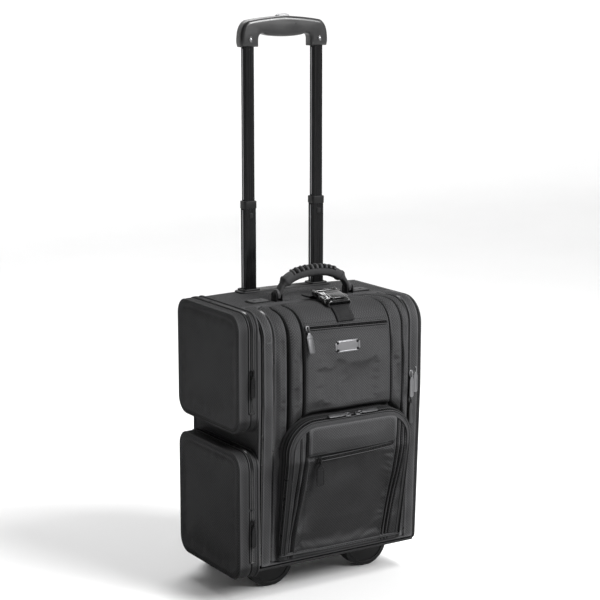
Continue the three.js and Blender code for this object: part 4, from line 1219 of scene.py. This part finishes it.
def side_pocket(name, low, high, bulge):
    middle = np.array([(POCKET_Y[0] + POCKET_Y[1]) / 2, (low + high) / 2])
    wall = [side_ring(low, high, i, -x) for i, x in (
        (0, 180.4), (-0.6, 184), (-0.4, 190), (1.2, 195), (3, 196), (6, 196), (6, 180.4))]
    part = (np.concatenate(wall), lattice(len(wall), len(wall[0]), wrap_rows=True, wrap_columns=True))
    Build(part).piece(f"{name}_pocket_wall", SHADED_GUSSET, "case", "fabric", [f"{name}_pocket_base"])

    band_rings = [side_ring(low, high, i, -x) for i, x in (
        (6, 196.6), (3, 196.6), (1.4, 197.5), (-0.4, 203), (-0.8, 209), (-0.6, 215), (0.2, 218.6), (4, 218.2),
        (6, 214),
    )]
    count = len(band_rings[0])
    side = (np.concatenate(band_rings), lattice(len(band_rings), count, wrap_rows=True, wrap_columns=True))
    Build(side).piece(f"{name}_pocket_band", SHADED_GUSSET, f"{name}_pocket_lid", "fabric")

    rings = [side_ring(low, high, i, -x) for i, x in (
        (0.6, 218.0), (0.9, 219.6), (2.0, 220.9), (4.0, 221.6), (8.0, 222.2))]
    inner = side_ring(low, high, 8.0, POCKET_SKIN_X)
    for f in (0.97, 0.93, 0.88, 0.82, 0.75, 0.67, 0.58, 0.48, 0.38, 0.28, 0.18, 0.09):
        flat = middle + (inner[:, 1:] - middle) * f
        hang = 1 + 0.35 * (middle[1] - flat[:, 1]) / (high - low)
        folds = ripple(flat[:, 0], flat[:, 1], 95, 51) * 0.9 * smooth((1 - f) * 5)
        corner = ripple(flat[:, 0] * 1.3, flat[:, 1], 38, 52) * 0.5
        corner = corner * smooth((f - 0.6) * 4) * smooth((1 - f) * 10)
        x = POCKET_SKIN_X - bulge * (1 - f ** 2.4) * hang - folds - corner
        rings.append(np.column_stack([x, flat]))
    centre = [POCKET_SKIN_X - bulge, *middle]
    back_rings = []
    for f in (0.15, 0.5, 0.9):
        flat = middle + (inner[:, 1:] - middle) * f
        back_rings.append(np.column_stack([np.full(len(flat), POCKET_LINING_X), flat]))
    back_rings.append(side_ring(low, high, 5, POCKET_LINING_X))
    outer = len(rings)
    everything = rings + back_rings
    points = np.concatenate([*everything, [centre], [[POCKET_LINING_X, *middle]]])
    free = np.zeros(len(points))
    free[6 * count:outer * count] = 1
    free[5 * count:6 * count] = 0.3
    free[-2] = 1
    faces = lattice(outer, count, wrap_columns=True)
    faces += lattice(len(back_rings), count, wrap_columns=True, start=outer * count)
    tip = len(everything) * count
    for j in range(count):
        k = (j + 1) % count
        faces.append([(outer - 1) * count + j, (outer - 1) * count + k, tip])
        faces.append([outer * count + k, outer * count + j, tip + 1])
        end = (len(everything) - 1) * count
        faces.append([end + j, end + k, k, j])
    points = settled(points, faces, free, 4.0, pressure=2.0)
    skin = Build((points, faces)).piece(
        f"{name}_pocket_skin", FABRIC, f"{name}_pocket_lid", "fabric", [f"{name}_pocket_lid"])

    body = f"{name}_pocket_lid"
    edge = side_ring(low, high, 0.9, -220.2)
    out = edge - np.array([-180.0, *middle])
    Build(piping(np.concatenate([edge, unit(out * [0.6, 1, 1])], 1), 1.5, True)).piece(
        f"{name}_pocket_piping", PIPING, body, "piping")
    seam = side_ring(low, high, 6.0, -222.1)
    left = np.broadcast_to([-1.0, 0, 0], seam.shape)
    Build(stitches(np.concatenate([seam, left], 1), closed=True)).piece(
        f"{name}_pocket_topstitch", THREAD, body, "piping")
    root = side_ring(low, high, -1.0, -182.5)
    out = root - np.array([-182.5, *middle])
    Build(piping(np.concatenate([root, unit(out)], 1), 2.0, True)).piece(
        f"{name}_pocket_root_piping", PIPING, "case", "piping")
    track = side_ring(low, high, -0.2, -196.2)
    track = opened(track[track[:, 2] > low + (36 if name == "upper" else 30)])
    out = side_normals(track, low, high)
    zip_line(f"{name}_pocket_zip", np.concatenate([track, out], 1), "case", width=10)


def side_normals(points, low, high, corner=30):
    """Outward normals round a side pocket's rounded outline."""
    near = np.stack([
        np.clip(points[:, 1], POCKET_Y[0] + corner, POCKET_Y[1] - corner),
        np.clip(points[:, 2], low + corner, high - corner)], -1)
    return np.column_stack([np.zeros(len(points)), unit(points[:, 1:] - near)])


# ---- handles, straps and buckle ---------------------------------------------------------------
def top_z(x, y):
    return on_front(x, TOP_S + np.asarray(y, float) - SHOULDER)[..., 2]


def carry_handle():
    """Moulded grip with raised ribs and near-black strips in the slots between them as painted shade, dark
    end caps and flat legs with round feet.
    """
    knots = np.array([
        (-80, 558), (-78.6, 563), (-75.5, 570), (-70, 579), (-60, 588.5), (-48, 595), (-34, 599.6),
        (-18, 602.2), (0, 603),
    ])
    knots = np.concatenate([knots, (knots * [-1, 1])[:-1][::-1]])
    path = resample(knots, 1.5)
    for _ in range(10):
        path[1:-1] = (path[:-2] + 2 * path[1:-1] + path[2:]) / 4
    path3 = np.column_stack([path[:, 0], np.full(len(path), HANDLE_Y), path[:, 1]])
    side = np.abs(path[:, 0])
    tall = np.interp(side, [0, 50, 60, 62, 65, 72, 80], [21, 20.5, 19.5, 18.5, 12, 9.5, 8])
    deep = np.interp(side, [0, 50, 60, 62, 65, 72, 80], [23, 22, 21.5, 21, 18, 18, 19])
    angles = turns(28)
    ca, sa = np.cos(angles), np.sin(angles)
    power = 0.72
    shape = np.stack([np.sign(ca) * np.abs(ca) ** power, np.sign(sa) * np.abs(sa) ** power], -1)
    section = shape[None] * np.stack([deep / 2, tall / 2], -1)[:, None]
    up = unit(path3 * [1, 0, 1] - np.array([0.0, 0.0, 535.0]))
    Build(sweep(path3, up, section)).piece(
        "carry_handle_grip", RUBBER, "carry_handle", "handle_rubber", ["carry_handle"])
    ribs = Build()
    slots = Build()
    caps = Build()
    along = np.concatenate([[0], np.cumsum(np.linalg.norm(np.diff(path, axis=0), axis=1))])
    centre = along[len(along) // 2]
    for i in range(19):
        at = centre + (i - 9) * 4.7
        point = np.array([np.interp(at, along, path[:, k]) for k in range(2)])
        normal = unit(point - np.array([0, 535.0]))
        tangent = np.array([normal[1], -normal[0]])
        arc = np.linspace(-1.2, 1.2, 13)
        reach = 10.7 * np.cos(arc) ** power
        lean = tangent[None] * (2.2 * np.sin(arc))[:, None]
        flat = point + normal[None] * reach[:, None] + lean
        across = 11.5 * np.sign(arc) * np.abs(np.sin(arc)) ** power
        line = np.column_stack([flat[:, 0], HANDLE_Y + across, flat[:, 1]])
        lift = (normal[0], 0, normal[1])
        if i % 2:
            # Near-black strips in the slots between the ribs: painted shade of the slots.
            slots.add(sweep(line, lift, band(3.8, 1.8, -0.9, 0.5)))
        else:
            ribs.add(sweep(line, lift, band(4.4, 3.8, -1.8, 1.4)))
    ribs.piece("carry_handle_ribs", RUBBER, "carry_handle", "handle_rubber")
    slots.piece("carry_handle_slot_shade", TAPE, "carry_handle", "handle_rubber")
    for sign in (-1, 1):
        keep = (path[:, 0] * sign > 59.5) & (path[:, 0] * sign < 66.5)
        part = sweep(path3[keep], up[keep], (section * 1.13)[keep])
        caps.add(part)
        ring = [(3.6, sign * 80 - 4), (8.4, sign * 80 - 4), (9.4, sign * 80 - 3), (9.4, sign * 80 + 3),
                (8.4, sign * 80 + 4), (3.6, sign * 80 + 4)]
        caps.add(lathe(ring, (0, HANDLE_Y, HANDLE_PIN_Z), 36))
    caps.piece("carry_handle_caps", RUBBER, "carry_handle", "handle_rubber")


def base_strap():
    """Webbing across the top, loops for the carry handle's feet, and a riveted patch at each end."""
    x = np.linspace(-136, 136, 100)
    y = np.full(100, 109.0)
    z = top_z(x, y) + 0.2
    route = np.column_stack([x, y, z, np.zeros(100), np.zeros(100), np.ones(100)])
    strap = sweep(route[:, :3], (0, 0, 1), band(40, 3.2))
    Build(strap).piece("base_strap", WEBBING, "case", "webbing", ["handle_base_strap"])
    edges = Build()
    for offset in (-20.4, 20.4):
        row = route.copy()
        row[:, 1] += offset
        edges.add(flat_strip(row, 2.6, 2.2))
    edges.piece("base_strap_edges", TAPE, "case", "zip_tape")
    rows = Build()
    for offset in (-17, 17):
        row = route.copy()
        row[:, 1] += offset
        row[:, 2] += 3.3
        rows.add(stitches(row, 4.5))
    rows.piece("base_strap_stitching", THREAD, "case", "piping")
    pins = Build()
    loops = Build()
    for sx in (-80, 80):
        bar = [(0.01, sx - 7.4), (3.0, sx - 7.4), (3.0, sx + 7.4), (0.01, sx + 7.4)]
        pins.add(lathe(bar, (0, HANDLE_Y, HANDLE_PIN_Z), 24))
        for side in (-1, 1):
            outline = rounded(HANDLE_Y - 10, HANDLE_Y + 10, 551.5, 569, 7, 6, 1.0)
            x0 = sx + side * 6.2
            loops.add(prism(outline, x0 - 0.9, x0 + 0.9, 0.7, axis="x"))
    pins.piece("carry_handle_pins", PLASTIC, "case", "moulded_plastic")
    loops.piece("carry_handle_loops", WEBBING, "case", "webbing")
    for side, name in SIDES:
        cx, cy = side * 113, 119
        z0 = float(top_z(cx, cy)) + 3.2
        edge = prism(rounded(cx - 22, cx + 22, cy - 16.5, cy + 16.5, 8), z0, z0 + 1.3, 0.5, axis="z")
        Build(edge).piece(f"strap_patch_edge_{name}", TAPE, "case", "zip_tape")
        patch = prism(rounded(cx - 19, cx + 19, cy - 13.5, cy + 13.5, 6), z0 + 0.8, z0 + 3.0, 0.9, axis="z")
        Build(patch).piece(f"strap_patch_{name}", RUBBER, "case", "moulded_plastic", [f"strap_anchor_{name}"])
        heads = Build()
        for dx in (-7, 7):
            turn = Matrix.Translation((cx + dx, cy, z0 + 2.8)) @ Matrix.Rotation(math.radians(-90), 4, "X")
            heads.add(moved(dome(3.6, 1.6), turn))
        heads.piece(f"strap_rivets_{name}", GUNMETAL, "case", "zip_metal")


def closure_strap():
    """Webbing from the front panel over the shoulder to the buckle, and on to the handle strap."""
    s = np.linspace(519.5, TOP_S - 33, 40)
    x = np.full(40, float(STRAP_X))
    lift = cover_height(x, s) + 1.0
    route = front_route(x, s, lift)
    lower = sweep(route[:, :3], route[:, 3:], band(2 * STRAP_HALF, 3.4))
    Build(lower).piece("closure_strap", WEBBING, "front_cover", "webbing", ["closure_strap_front"])
    rows = Build()
    for offset in (-15.5, 15.5):
        row = shifted(route, offset)
        row[:, :3] += unit(row[:, 3:]) * 3.4
        rows.add(stitches(row, 4.0))
    across = np.linspace(STRAP_X - 15, STRAP_X + 15, 12)
    bar_tack = front_route(across, np.full(12, 523.5), cover_height(x[:12], 523.5) + 4.4)
    rows.add(stitches(bar_tack, 3.5))
    rows.piece("closure_strap_stitching", THREAD, "front_cover", "piping")
    y = np.linspace(66, 119, 20)
    z = np.interp(y, [66, 74, 90, 119], [566, 559, 553.6, 553.2])
    rear = np.column_stack([np.full(20, STRAP_X), y, z])
    Build(sweep(rear, (0, 0, 1), band(2 * STRAP_HALF, 2.2))).piece(
        "rear_strap", WEBBING, "case", "webbing", ["closure_strap_rear"])


def buckle():
    """Side-release buckle, tipped over the shoulder: a domed socket with side windows and a tongue."""
    tip = Matrix.Rotation(math.radians(15), 4, "X")
    rest = Matrix.Translation((0, 60, 559.5)) @ tip @ Matrix.Translation((0, -60, 0))
    uu, vv = np.meshgrid(np.linspace(-1, 1, 27), np.linspace(0, 1, 19), indexing="ij")
    half = 27 - 1.5 * smooth((0.18 - vv) * 6) - 3.6 * np.exp(-((vv - 0.55) / 0.15) ** 2)
    x = STRAP_X + half * uu
    y = 14.5 + 35.5 * vv
    rise = (1 - np.abs(uu) ** 5) ** 0.5
    z = 4.5 + 10.0 * rise * (0.70 + 0.30 * smooth(vv * 3.2)) + 0.6 * vv
    low = np.stack([x, y + 2.5 * (1 - smooth(vv * 6)), 0.5 + 0 * z], -1)
    topside = np.stack([x, y, z], -1)
    Build(moved(between(topside, low), rest)).piece(
        "buckle_body", GLOSS, "front_cover", "buckle_gloss", ["buckle_socket"])
    trims = Build()
    plate = prism(rounded(STRAP_X - 16, STRAP_X + 16, 19, 44, 5), 14.4, 15.9, 0.7, axis="z")
    trims.add(moved(plate, rest))
    lip = [(x, 14.0, z) for x, z in rounded(STRAP_X - 24, STRAP_X + 24, 1.6, 9.6, 3.2, 4)]
    trims.add(moved(sweep(resample(lip, 1.5, True), (0, -1, 0), circle(1.0, 8), closed=True), rest))
    for side in (-1, 1):
        cx = STRAP_X + side * 23.5
        trims.add(moved(prism(rounded(cx - 4.5, cx + 4.5, 26, 43, 3.5), 2.6, 11.5, 1.6, axis="z"), rest))
    trims.piece("buckle_release_tabs", BUCKLE_FACE, "front_cover", "buckle_gloss")
    tongue = Build()
    tongue.add(prism(rounded(STRAP_X - 27, STRAP_X + 27, 50.6, 58.5, 3), 1, 13.5, 2.0, axis="z"))
    for side in (-1, 1):
        cx = STRAP_X + side * 24
        tongue.add(prism(rounded(cx - 3, cx + 3, 52, 71, 2.5), 1, 12, 1.6, axis="z"))
    tongue.add(prism(rounded(STRAP_X - 27, STRAP_X + 27, 65.5, 71.5, 2.2), 1, 10.5, 1.8, axis="z"))
    for cx in (-14, 0, 14):
        tongue.add(prism(rounded(STRAP_X + cx - 2, STRAP_X + cx + 2, 30, 52, 1.2), 8, 10.4, 0.6, axis="z"))
    Build(moved((np.concatenate(tongue.points), tongue.faces), rest)).piece(
        "buckle_insert", GLOSS, "case", "buckle_gloss", ["buckle_tongue"])


# ---- pull handle ------------------------------------------------------------------------------
def tube_section(x, y, groove):
    """Rounded box tube whose four faces carry a shallow drawn groove."""
    outline = rounded(-x / 2, x / 2, -y / 2, y / 2, 3.4, 4)
    points = []
    for a, b in zip(outline, np.roll(outline, -1, 0)):
        points.append(a)
        if np.linalg.norm(b - a) > 5:
            along = unit(b - a)
            inward = np.array([-along[1], along[0]])
            middle = (a + b) / 2
            for t, d in ((-2.6, 0), (-1.9, groove), (1.9, groove), (2.6, 0)):
                points.append(middle + along * t + inward * d)
    return np.array(points)


def tube(name, side, size, low, high, body):
    x, y = size
    path = np.column_stack([np.full(9, side * TUBE_X), np.full(9, TUBE_Y), np.linspace(low, high, 9)])
    section = tube_section(x, y, 0.55)[:, ::-1]
    Build(sweep(path, (1, 0, 0), section)).piece(f"{name}_finished", TUBE, body, "tube_black", [name], 22)


def pull_tubes():
    for side, label in SIDES:
        tube(f"middle_tube_{label}", side, (25, 20), 300, 715, "middle_stage")
        tube(f"upper_tube_{label}", side, (21.4, 16.4), 585, 1051, "upper_stage")
        collar = prism(rounded(side * TUBE_X - 13.6, side * TUBE_X + 13.6, TUBE_Y - 11.1, TUBE_Y + 11.1, 4.5),
                       714.8, 729.4, 1.0, axis="z")
        Build(collar).piece(f"tube_collar_{label}_finished", PLASTIC, "middle_stage", "moulded_plastic",
                            [f"tube_collar_{label}"])
        pin = Matrix.Translation((side * (TUBE_X - 12.4), TUBE_Y, 688)) @ Matrix.Rotation(
            math.radians(90 * side), 4, "Z")
        Build(moved(dome(2.4, 1.9), pin)).piece(f"lock_pin_{label}", SILVER, "middle_stage", "silver_metal")
        for stage_name, half, low, high in (("middle", 12.5, 558, 712), ("upper", 10.7, 732, 1019)):
            # Thin silver strips down the middle of each tube's side faces: painted highlight lines.
            highlight_strips = Build()
            for sign in (-1, 1):
                x0 = side * TUBE_X + sign * half
                highlight_strips.add(block((x0 - 0.45, x0 + 0.15), (TUBE_Y - 1.7, TUBE_Y + 1.7), (low, high), 0.2))
            highlight_strips.piece(f"{stage_name}_highlight_strip_{label}", SILVER, f"{stage_name}_stage", "silver_metal")
        latch = block((side * TUBE_X - 4, side * TUBE_X + 4), (TUBE_Y - 11.2, TUBE_Y - 9.4), (696, 706), 0.7)
        Build(latch).piece(f"lock_window_{label}", PLASTIC, "middle_stage", "moulded_plastic")
    plate = prism(rounded(-103, 103, TUBE_Y - 17, TUBE_Y + 17, 10), 549.5, 555, 1.6, axis="z")
    bezel = Build(plate)
    for side in (-1, 1):
        cx = side * TUBE_X
        bezel.add(prism(rounded(cx - 19, cx + 19, TUBE_Y - 15, TUBE_Y + 15, 6), 554, 558.5, 1.4, axis="z"))
    piece = bezel.piece("handle_bezel_finished", PLASTIC, "case", "moulded_plastic", ["handle_bezel"])
    bored(piece, *tube_holes(TOP_Z - 20, TOP_Z + 20))


def bezier(a, b, c, count):
    t = np.linspace(0, 1, count)[:, None]
    return (1 - t) ** 2 * np.array(a) + 2 * t * (1 - t) * np.array(b) + t ** 2 * np.array(c)


def grip_outline():
    """The pull handle's front view, anticlockwise from the inner corner of its right leg."""
    right = np.concatenate([
        [(58, GRIP_LEG_Z), (GRIP_HALF - 2, GRIP_LEG_Z)],
        bezier((GRIP_HALF, 1030), (GRIP_HALF + 1, 1062), (82, 1071), 16),
        bezier((80, 1072), (45, 1078), (0, GRIP_TOP_Z), 18),
    ])
    under = np.concatenate([
        bezier((0, 1040.5), (38, 1041), (46, 1046), 12),
        bezier((48, 1046.4), (57, 1047), (58, 1036), 8),
    ])
    left = (right * [-1, 1])[::-1]
    under_left = (under * [-1, 1])[::-1]
    return np.concatenate([right, left[1:], under_left[:-1], under])


def pull_grip():
    points, faces = prism(grip_outline(), -13.5, 13.5, 7.5, 7)
    Build((points + [0, TUBE_Y, 0], faces)).piece(
        "pull_grip", GRIP_PLASTIC, "upper_stage", "moulded_plastic", ["pull_handle_grip"], 50)
    screws = Build()
    for x in (-TUBE_X, TUBE_X):
        screws.add(moved(dome(3.3, 1.1), Matrix.Translation((x, TUBE_Y - 13.4, GRIP_LEG_Z + 14))))
    screws.piece("grip_screws", SILVER, "upper_stage", "silver_metal")
    cups = Build()
    for x in (-TUBE_X, TUBE_X):
        path = [(x + 4.6 * math.cos(a), TUBE_Y - 13.3, GRIP_LEG_Z + 14 + 4.6 * math.sin(a))
                for a in turns(24)]
        cups.add(sweep(path, (0, -1, 0), circle(0.8, 8), closed=True))
    cups.piece("grip_screw_rims", GRIP_PLASTIC, "upper_stage", "moulded_plastic")


def button_cap():
    """The domed release button in the top of the grip."""
    button = []
    rows = 9
    outline = rounded(-15, 15, -6.5, 6.5, 6.2, 8)
    for i in range(rows):
        angle = math.pi / 2 * i / (rows - 1)
        height = np.full(len(outline), 1079.0 + 5 * math.sin(angle))
        button.append(np.column_stack([outline * math.cos(angle) ** 0.6, height]))
    button = [np.column_stack([outline, np.full(len(outline), 1070.0)])] + button[:-1]
    points = np.concatenate([*button, [(0, 0, 1084.2)], [(0, 0, 1070.0)]]) + [0, TUBE_Y, 0]
    count = len(outline)
    faces = lattice(rows, count, wrap_columns=True)
    faces += fan((rows - 1) * count, count, rows * count) + fan(0, count, rows * count + 1, flip=True)
    Build((points, faces)).piece(
        "release_button_cap", BUTTON, "release_button", "button_grey", ["release_button"])


# ---- wheels and feet --------------------------------------------------------------------------
def wheels():
    for side, name in SIDES:
        centre = (side * WHEEL_X, WHEEL_Y, WHEEL_RADIUS)
        r, w = WHEEL_RADIUS, 12.0
        profile_points = [(HUB_RADIUS + 0.4, -w), (r - 5, -w), (r - 2, -w + 1.2), (r, -w + 4)]
        for groove in (-4.0, 0.0, 4.0):
            profile_points += [(r, groove - 1.1), (r - 1.3, groove - 0.6)]
            profile_points += [(r - 1.3, groove + 0.6), (r, groove + 1.1)]
        profile_points += [(r, w - 4), (r - 2, w - 1.2), (r - 5, w), (HUB_RADIUS + 0.4, w)]
        Build(lathe(profile_points, centre, 96)).piece(
            f"wheel_{name}_tread", TYRE, f"wheel_{name}", "wheel_tyre", [f"wheel_tyre_{name}"])
        hub = Build(
            lathe([(19, -10), (22.8, -11), (22.8, 11), (19, 10)], centre, 64),
            lathe([(4.4, -11), (9, -11), (9.6, -10), (9.6, 10), (9, 11), (4.4, 11)], centre, 48),
            lathe([(9.0, -2), (20, -2), (20, 2), (9.0, 2)], centre, 48),
        )
        for i in range(5):
            turn = Matrix.Translation(centre) @ Matrix.Rotation(2 * math.pi * i / 5, 4, "X")
            spoke = block((-9.0, 9.0), (8.5, 20.0), (-2.4, 2.4), 0.9)
            hub.add(moved(spoke, turn))
        hub.piece(f"wheel_{name}_hub", HUB, f"wheel_{name}", "wheel_hub", [f"wheel_hub_{name}"])


def feet():
    """Half-disc front feet: a rounded disc with a raised ring on each flat side."""
    for side, name in SIDES:
        flat = 8.0
        cz = math.sqrt(FOOT_RADIUS ** 2 - flat ** 2)
        start = math.asin((BASE_Z - 0.4 - cz) / FOOT_RADIUS)
        stop = math.asin(flat / FOOT_RADIUS)
        angles = np.linspace(math.pi - start, 1.5 * math.pi - stop, 26)
        left = np.stack([FOOT_RADIUS * np.cos(angles), cz + FOOT_RADIUS * np.sin(angles)], -1)
        outline = np.concatenate([left, (left * [-1, 1])[::-1]]) + [side * FOOT_X, 0]
        part = Build(prism(outline, FOOT_Y - 15, FOOT_Y + 15, 2.6, 4))
        for y in (FOOT_Y - 15, FOOT_Y + 15):
            arc = np.linspace(math.pi - start + 0.12, 2 * math.pi + start - 0.12, 40)
            ring = np.stack([side * FOOT_X + 41 * np.cos(arc), np.full(40, y), cz + 41 * np.sin(arc)], -1)
            part.add(sweep(ring, (0, 1, 0), circle(1.5, 8)))
        part.piece(f"front_foot_{name}_finished", PLASTIC, "case", "moulded_plastic", [f"front_foot_{name}"])


def carriage():
    softened("wheel_carriage", 2.0, 3, PLASTIC, "wheel_carriage_finished")
    softened("tube_foot_bracket", 1.0, 2, PLASTIC)
    skids = Build()
    for x in (-96, -48, 0, 48, 96):
        skids.add(block((x - 4, x + 4), (BACK_Y + 1.0, BACK_Y + 4.5), (56, 84), 1.3))
    skids.piece("kick_plate_ribs", PLASTIC, "case", "moulded_plastic")


# ---- zip sliders and pulls --------------------------------------------------------------------
SLIDERS = {
    "upper_pocket": (0, 0, 43, 9, GUNMETAL, "zip_metal"),
    "lower_pocket": (0, 0, 43, 9, GUNMETAL, "zip_metal"),
    "outer_front": (0, 0, 43, 9, SILVER, "silver_metal"),
    "inner_front_high": (0, 0, 43, 9, SILVER, "silver_metal"),
    "inner_front_low": (0, 0, 43, 9, PEWTER, "zip_metal"),
    "front_panel": (0, 19, 43, 13, PEWTER, "zip_metal"),
    "arch_left": (-90, 58, 40, 8, PEWTER, "zip_metal"),
    "arch_right": (90, 58, 40, 8, PEWTER, "zip_metal"),
    "slanted": (0, 0, 45, 17, GUNMETAL, "zip_metal"),
}


def slider_place(name, turn, tilt):
    """Where a slider's own frame sits: its zip along local Z, open air towards local -Y."""
    spin = Matrix.Rotation(math.radians(-tilt), 4, "X") @ Matrix.Rotation(math.radians(-turn), 4, "Y")
    low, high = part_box(f"{name}_slider")
    centre = (np.array(low) + np.array(high)) * 500 - ORIGIN
    return Matrix.Translation(Vector(centre) - spin @ Vector((0, -3.2, -0.25))) @ spin


def slider_parts(length, width):
    """A slider's body and bridge, and its pull with a raised rim and a ring."""
    sole = [(-3.2, -6), (3.2, -6), (4.6, -2), (4.6, 3), (3.2, 6), (-3.2, 6), (-4.6, 3), (-4.6, -2)]
    body = prism(sole, -3.2, 0.6, 0.8, 3)
    bridge_path = [(0, y, z) for y, z in (
        (-2.4, 3.6), (-4.6, 3.0), (-6.0, 1.0), (-6.3, -2.0), (-6.0, -5.0), (-4.4, -6.2), (-2.4, -6.4))]
    bridge = sweep(resample(bridge_path, 0.8), (1, 0, 0), circle(1.15, 10))
    half = width / 2
    edge = [(-2.2, -3.5), (-3.4, -6), (-half, -11), (-half, 3.5 - length), (-half + 1.0, 1 - length),
            (-half + 3.0, -length)]
    tab = prism(edge + [(-x, z) for x, z in reversed(edge)], -5.6, -3.3, 0.7, 3)
    ridge = [(x, -5.7, z) for x, z in rounded(-half + 2.0, half - 2.0, 3.0 - length, -13.5, 1.6, 4)]
    frame_line = sweep(resample(ridge, 1.5, True), (0, -1, 0), circle(0.45, 6), closed=True)
    ring_path = [(2.6 * math.cos(a), -4.4, 2.9 * math.sin(a) - 1.6) for a in turns(24)]
    ring = sweep(ring_path, (0, -1, 0), circle(0.8, 8), closed=True)
    return [body, bridge], [tab, frame_line, ring]


def sliders():
    for name, (turn, tilt, length, width, material, slot) in SLIDERS.items():
        place = slider_place(name, turn, tilt)
        fixed, hanging = slider_parts(length, width)
        Build(*[moved(part, place) for part in fixed]).piece(
            f"{name}_slider_body", material, f"{name}_slider", slot, [f"{name}_slider"])
        hang = place @ Matrix.Translation((0, 0, -4))
        Build(*[moved(part, hang) for part in hanging]).piece(
            f"{name}_pull_tab", material, f"{name}_pull", slot, [f"{name}_pull"])


# ---- nodes kept from the frame ----------------------------------------------------------------
def kept_nodes():
    """CAD nodes whose shape is already right get their finish."""
    for node, material in (
        ("bay_divider", LINING), ("outer_tube_left", TUBE), ("outer_tube_right", TUBE),
        ("wheel_axle", SILVER),
    ):
        slots = frame["nodes"][node].data.materials
        slots.clear()
        slots.append(material)


# ---- stage ------------------------------------------------------------------------------------
def stage():
    scene = bpy.context.scene
    scene.view_settings.view_transform = "Standard"
    world = bpy.data.worlds.new("studio")
    scene.world = world
    world.use_nodes = True
    background = world.node_tree.nodes["Background"]
    nodes = world.node_tree.nodes
    links = world.node_tree.links
    axes = nodes.new("ShaderNodeSeparateXYZ")
    links.new(nodes.new("ShaderNodeTexCoord").outputs["Generated"], axes.inputs[0])
    side = nodes.new("ShaderNodeMapRange")
    for key, number in (("From Min", -0.8), ("From Max", 0.9), ("To Min", 0.06), ("To Max", 0.42)):
        side.inputs[key].default_value = number
    links.new(axes.outputs[0], side.inputs["Value"])
    links.new(side.outputs[0], background.inputs["Color"])
    background.inputs["Strength"].default_value = 1.0
    reach = 9.0
    arc = np.linspace(0, math.pi / 2, 16)
    depth = np.concatenate([[-reach, 0.0], 4.0 + 2.0 * np.sin(arc), [6.0]])
    height = np.concatenate([[0.0, 0.0], 2.0 - 2.0 * np.cos(arc), [7.0]])
    points = [(x, y, z) for y, z in zip(depth, height) for x in (-reach, reach)]
    floor_mesh = bpy.data.meshes.new("floor")
    strips = [[2 * i, 2 * i + 1, 2 * i + 3, 2 * i + 2] for i in range(len(depth) - 1)]
    floor_mesh.from_pydata(points, [], strips)
    floor_mesh.shade_smooth()
    floor = bpy.data.objects.new("floor", floor_mesh)
    scene.collection.objects.link(floor)
    paper = Finish("floor_paper", 0.9, Specular_IOR_Level=0.1)
    colour = paper.blend(paper.noise(2, 2), (0.80, 0.80, 0.80), (0.83, 0.83, 0.83))
    floor_mesh.materials.append(paper.use(colour, None, paper.bump(paper.noise(300, 2), 0.0001, 0.2)))
    for name, at, kind, size, energy in (
        ("key", (1.5, -2.6, 2.7), "SUN", math.radians(24), 3.2),
        ("top", (0.3, 1.2, 2.8), "AREA", 1.6, 60),
        ("front", (0.45, -0.75, 1.45), "AREA", 0.5, 13),
    ):
        light = bpy.data.lights.new(name, kind)
        if kind == "SUN":
            light.angle = size
        else:
            light.size = size
        light.energy = energy
        lamp = bpy.data.objects.new(name, light)
        scene.collection.objects.link(lamp)
        lamp.location = at
        lamp.rotation_euler = (Vector((0, 0, 0.45)) - Vector(at)).to_track_quat("-Z", "Y").to_euler()


def camera():
    """Seen from 32 degrees left of the front and 10.9 above level."""
    azimuth = math.radians(32)
    elevation = math.radians(10.9)
    level = math.cos(elevation)
    forward = Vector((math.sin(azimuth) * level, math.cos(azimuth) * level, -math.sin(elevation)))
    data = bpy.data.cameras.new("camera")
    data.sensor_width = 36
    data.lens = 102
    data.clip_end = 60
    view = bpy.data.objects.new("camera", data)
    bpy.context.scene.collection.objects.link(view)
    view.location = (np.array([-1712.6, -2592.0, 1160.0]) + ORIGIN) / 1000
    view.rotation_euler = forward.to_track_quat("-Z", "Y").to_euler()
    bpy.context.scene.camera = view


camera()
stage()
kept_nodes()
case_sides()
case_top_and_back()
case_base()
lid_skin()
border_zips()
cover_skin()
cover_details()
badge()
front_pocket()
pocket_details()
for pocket_name, pocket_size in SIDE_POCKETS.items():
    side_pocket(pocket_name, *pocket_size)
carry_handle()
base_strap()
closure_strap()
buckle()
pull_tubes()
pull_grip()
button_cap()
wheels()
feet()
carriage()
sliders()
